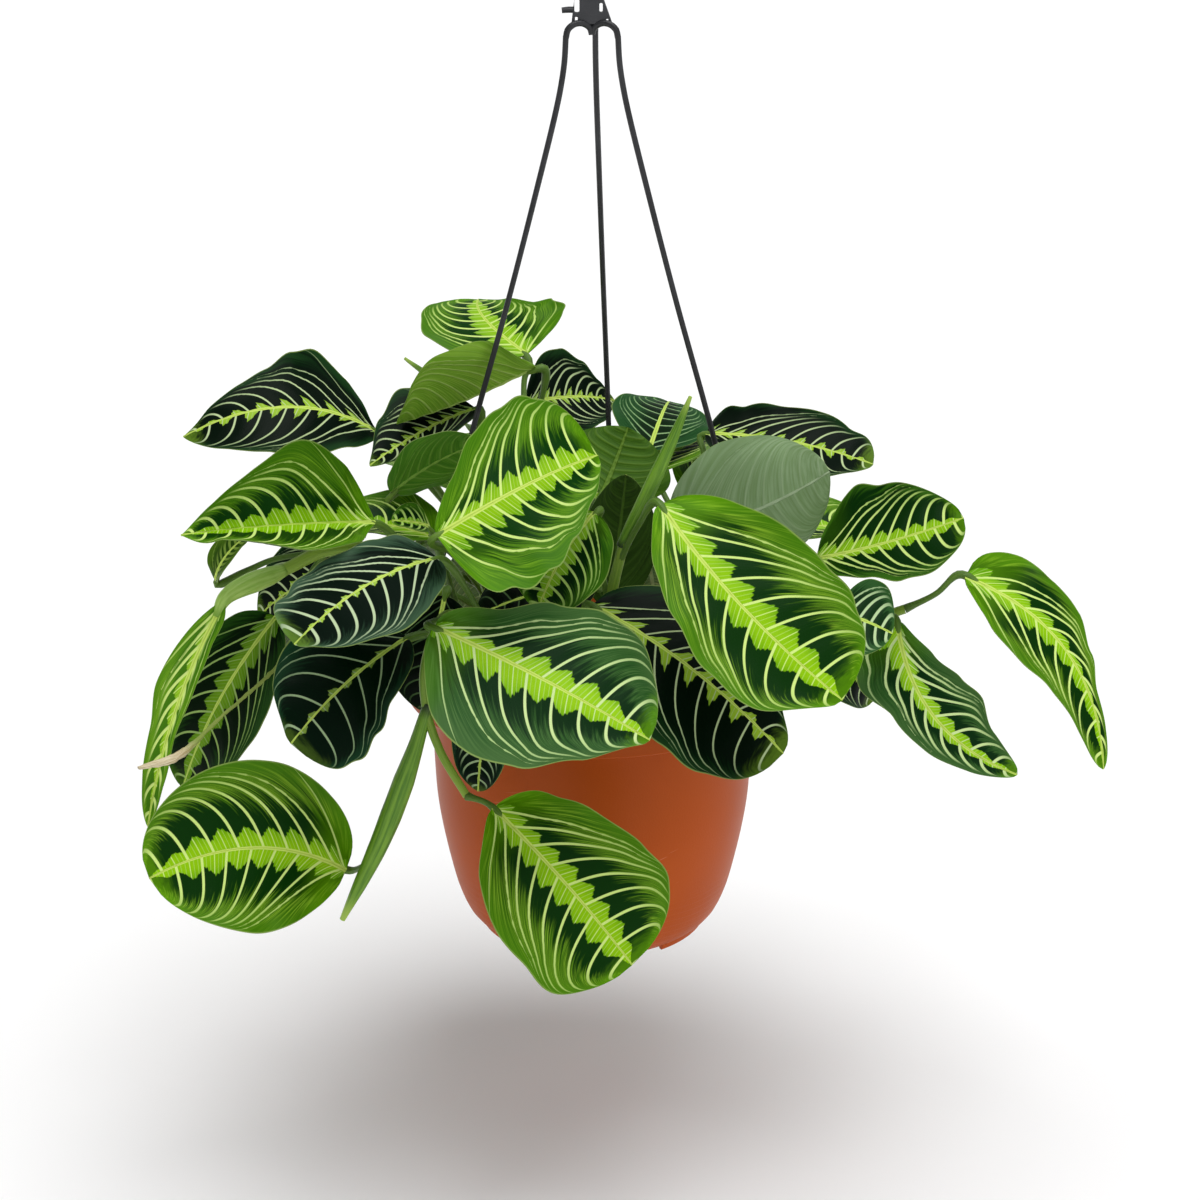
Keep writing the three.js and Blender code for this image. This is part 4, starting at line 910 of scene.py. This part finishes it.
UPPER_TONES = {
    "bright": dict(
        lime=(138, 192, 8), lime_edge=(98, 158, 2), blotch=(6, 48, 2), field=(56, 104, 8),
        streak=(138, 180, 46), margin=(70, 122, 12), vein=(206, 232, 132), glow=0.6),
    "fresh": dict(
        lime=(134, 186, 8), lime_edge=(96, 154, 2), blotch=(8, 54, 3), field=(56, 106, 8),
        streak=(112, 160, 30), margin=(66, 118, 12), vein=(206, 232, 132), dark_reach=0.42, glow=0.4),
    "rich": dict(
        lime=(134, 186, 8), lime_edge=(96, 154, 2), blotch=(6, 44, 4), field=(34, 78, 10),
        streak=(66, 112, 26), margin=(50, 98, 14), vein=(206, 232, 132), dark_reach=0.75, reach=0.85,
        glow=0.2),
    "folded": dict(
        lime=(148, 196, 34), lime_edge=(106, 160, 12), blotch=(66, 118, 18), field=(92, 144, 24),
        streak=(132, 178, 44), margin=(78, 130, 18), vein=(206, 230, 130)),
    "banded": dict(
        lime=(146, 198, 22), lime_edge=(104, 164, 8), blotch=(10, 44, 14), field=(38, 80, 30),
        streak=(74, 112, 56), margin=(66, 102, 50), vein=(204, 228, 156), dark_reach=0.42, glow=0.35),
    "dark": dict(
        lime=(150, 188, 50), lime_edge=(112, 152, 40), blotch=(1, 16, 4), field=(4, 30, 8),
        streak=(18, 54, 18), margin=(26, 62, 26), vein=(188, 208, 154), spike=0.7, reach=0.8,
        vein_width=0.72, dark_reach=0.7),
    "shaded": dict(
        lime=(104, 150, 24), lime_edge=(78, 124, 14), blotch=(2, 22, 2), field=(14, 48, 6),
        streak=(40, 84, 18), margin=(32, 72, 16), vein=(150, 182, 100), vein_width=0.8),
    "grey": dict(
        lime=(156, 192, 66), lime_edge=(116, 156, 56), blotch=(5, 20, 11), field=(20, 42, 27),
        streak=(52, 80, 58), margin=(64, 94, 68), vein=(192, 212, 168), spike=0.75, reach=0.35),
    # Painted shade: a dimmer copy of the bright tone.
    "inner": dict(
        lime=(128, 180, 28), lime_edge=(94, 150, 14), blotch=(4, 38, 4), field=(34, 80, 8),
        streak=(84, 130, 26), margin=(52, 98, 14), vein=(172, 206, 108), vein_width=0.9, glow=0.3),
    # Painted shade: nearly black all over, for leaves deep inside the plant.
    "shade_black": dict(
        lime=(30, 58, 14), lime_edge=(14, 40, 8), blotch=(1, 10, 2), field=(2, 14, 4), streak=(8, 26, 8),
        margin=(10, 28, 10), vein=(74, 100, 60), vein_width=0.6, reach=0.3),
    "soft_dark": dict(
        lime=(84, 128, 50), lime_edge=(60, 104, 40), blotch=(16, 48, 18), field=(36, 76, 34),
        streak=(56, 98, 50), margin=(48, 90, 42), vein=(188, 214, 160), reach=0.2),
    "olive_top": dict(
        lime=(110, 146, 36), lime_edge=(84, 120, 24), blotch=(40, 72, 10), field=(62, 98, 16),
        streak=(90, 126, 30), margin=(74, 110, 20), vein=(120, 150, 60), reach=0.2),
    "plain": dict(
        lime=(96, 140, 60), lime_edge=(60, 104, 40), blotch=(8, 34, 10), field=(22, 62, 26),
        streak=(44, 90, 44), margin=(40, 84, 40), vein=(140, 176, 120), reach=0.15, spike=0.5,
        vein_width=0.7, dark_reach=0.3),
    "deep": dict(
        lime=(126, 156, 62), lime_edge=(88, 118, 38), blotch=(2, 22, 8), field=(8, 38, 18),
        streak=(22, 60, 34), margin=(24, 62, 36), vein=(166, 192, 144), reach=0.4, spike=0.75,
        vein_width=0.75, dark_reach=0.7),
}
UNDER_TONES = {
    "soft": dict(skin=(70, 98, 50), pale=(88, 116, 64), vein=(124, 148, 94)),
    # Painted shade: a darker copy of the olive underside, for a leaf deep inside the plant.
    "olive_in_shade": dict(skin=(30, 54, 6), pale=(42, 70, 12), vein=(60, 88, 24), veined=0.3),
    "bright_under": dict(skin=(116, 164, 42), pale=(142, 186, 62), vein=(176, 208, 104), depth=0.0005),
    "olive": dict(skin=(52, 90, 10), pale=(70, 110, 20), vein=(96, 130, 40), veined=0.4),
    "mid": dict(skin=(64, 118, 22), pale=(86, 138, 36), vein=(130, 172, 70), veined=0.4),
    "whitish": dict(skin=(112, 140, 92), pale=(132, 158, 116), vein=(156, 178, 140), veined=0.35),
}
upper = {name: upper_finish("leaf_" + name, **tone) for name, tone in UPPER_TONES.items()}
under = {name: under_finish("leaf_under_" + name, **tone) for name, tone in UNDER_TONES.items()}
# The stalks' own green, painted darker than the stems' as shade, since most stalks are seen inside the plant.
shaded_stalk_skin = growth_finish("shaded_stalk_skin", (92, 126, 36), (70, 106, 26), (74, 102, 28), (104, 138, 42))
sheath_skin = growth_finish("sheath_skin", (172, 206, 104), (140, 184, 70), (120, 160, 52), (110, 154, 44))
STALK_RADII = (1.8, 1.3, 1.15, 1.15, 1.2, 1.7, 1.75, 0.8)
SHEATH_RADII = (2.4, 3.8, 4.2, 3.6, 2.8, 1.6)

for number, (name, leaf) in enumerate(LEAVES.items()):
    shape = new_growth()
    for layer in BLADE_LAYERS:
        shape.verts.layers.float.new(layer)
    grow_blade(shape, leaf, number)
    radii, skin = (SHEATH_RADII, sheath_skin) if leaf.sheath else (STALK_RADII, shaded_stalk_skin)
    grow_tube(shape, stalk_line(leaf), radii, 12, 2, 1.4)
    piece = shown(name + "_leaf", shape, [upper[leaf.tone], under[leaf.under], skin], 60)
    node = "shoot_" + leaf.stem if leaf.stem in BACK_STEMS else "leaf_" + name
    placed(piece, [node])


# Dry stalk
# A thin old leaf stalk that hangs out at the far left, beside the left stem.
# Its tip has dried to a straw-coloured husk, and the rest is still pale green.
DRY_LINE = [(-106, -44, 36), (-114, -56, 26), (-122, -64, 19), (-139, -80, 8), (-154, -100, 0),
            (-167, -108, -1)]
DRY_RADII = [0.9, 0.8, 0.8, 0.75, 0.7, 0.7, 0.7, 0.8, 1.5, 1.7, 0.7]

dry_shape = new_growth()
grow_tube(dry_shape, DRY_LINE, DRY_RADII, 12, 0, 1.2)
for vert in dry_shape.verts:
    vert.co += noise.noise_vector(vert.co * 0.5) * 0.4
dry_finish = Finish("dry_husk", 0.75, specular=0.25)
grown = dry_finish.attribute("grown", "Vector")
grown_place = dry_finish.vector(grown.part("X") * 3, grown.part("Y") * 3, grown.part("Z") * 6)
fibres = dry_finish.noise(grown_place, 2, 3)
husk = dry_finish.mix(fibres.step(0.3, 0.65), shade(166, 142, 92), shade(226, 216, 186))
green_part = dry_finish.mix(fibres, shade(110, 132, 50), shade(150, 164, 84))
dry_colour = dry_finish.mix(grown.part("Z").step(0.72, 0.84), green_part, husk)
dry_skin = dry_finish.wear(dry_colour, fibres * 0.2 + 0.65, fibres)
placed(shown("dry_husk_stalk", dry_shape, [dry_skin]), ["dry_stalk"])


# Studio
# A wide plain white floor under white surroundings. A very broad soft light from overhead gives
# the shadow on the floor, and a weaker one from the front brightens the leaves' faces.
FLOOR_REACH = 8000
FLOOR_MIDDLE = (0, 3000, -202)
SURROUNDING_LIGHT = 0.4
LAMPS = [("overhead", (0.08, -0.1, 1), 48, 2.1), ("front", (0.7, -0.9, 0.5), 60, 0.5)]

floor_shape = bmesh.new()
bmesh.ops.create_grid(floor_shape, x_segments=1, y_segments=1, size=FLOOR_REACH,
                      matrix=Matrix.Translation(FLOOR_MIDDLE))
floor_finish = Finish("white_floor", 0.9, specular=0.0)
floor_tint = floor_finish.noise(floor_finish.place(), 3)
paper = floor_finish.wear(floor_finish.mix(floor_tint, shade(249, 249, 250), shade(251, 251, 251)))
floor = shown("floor", floor_shape, [paper])

world = bpy.data.worlds.new("studio")
bpy.context.scene.world = world
world.use_nodes = True
world.node_tree.nodes["Background"].inputs["Color"].default_value = (1, 1, 1, 1)
world.node_tree.nodes["Background"].inputs["Strength"].default_value = SURROUNDING_LIGHT
for name, direction, spread, power in LAMPS:
    lamp = bpy.data.objects.new(name, bpy.data.lights.new(name, "SUN"))
    lamp.data.angle = math.radians(spread)
    lamp.data.energy = power
    lamp.location = direction
    lamp.rotation_euler = Vector(direction).to_track_quat("Z", "Y").to_euler()
    bpy.context.scene.collection.objects.link(lamp)
bpy.context.scene.view_settings.view_transform = "Standard"
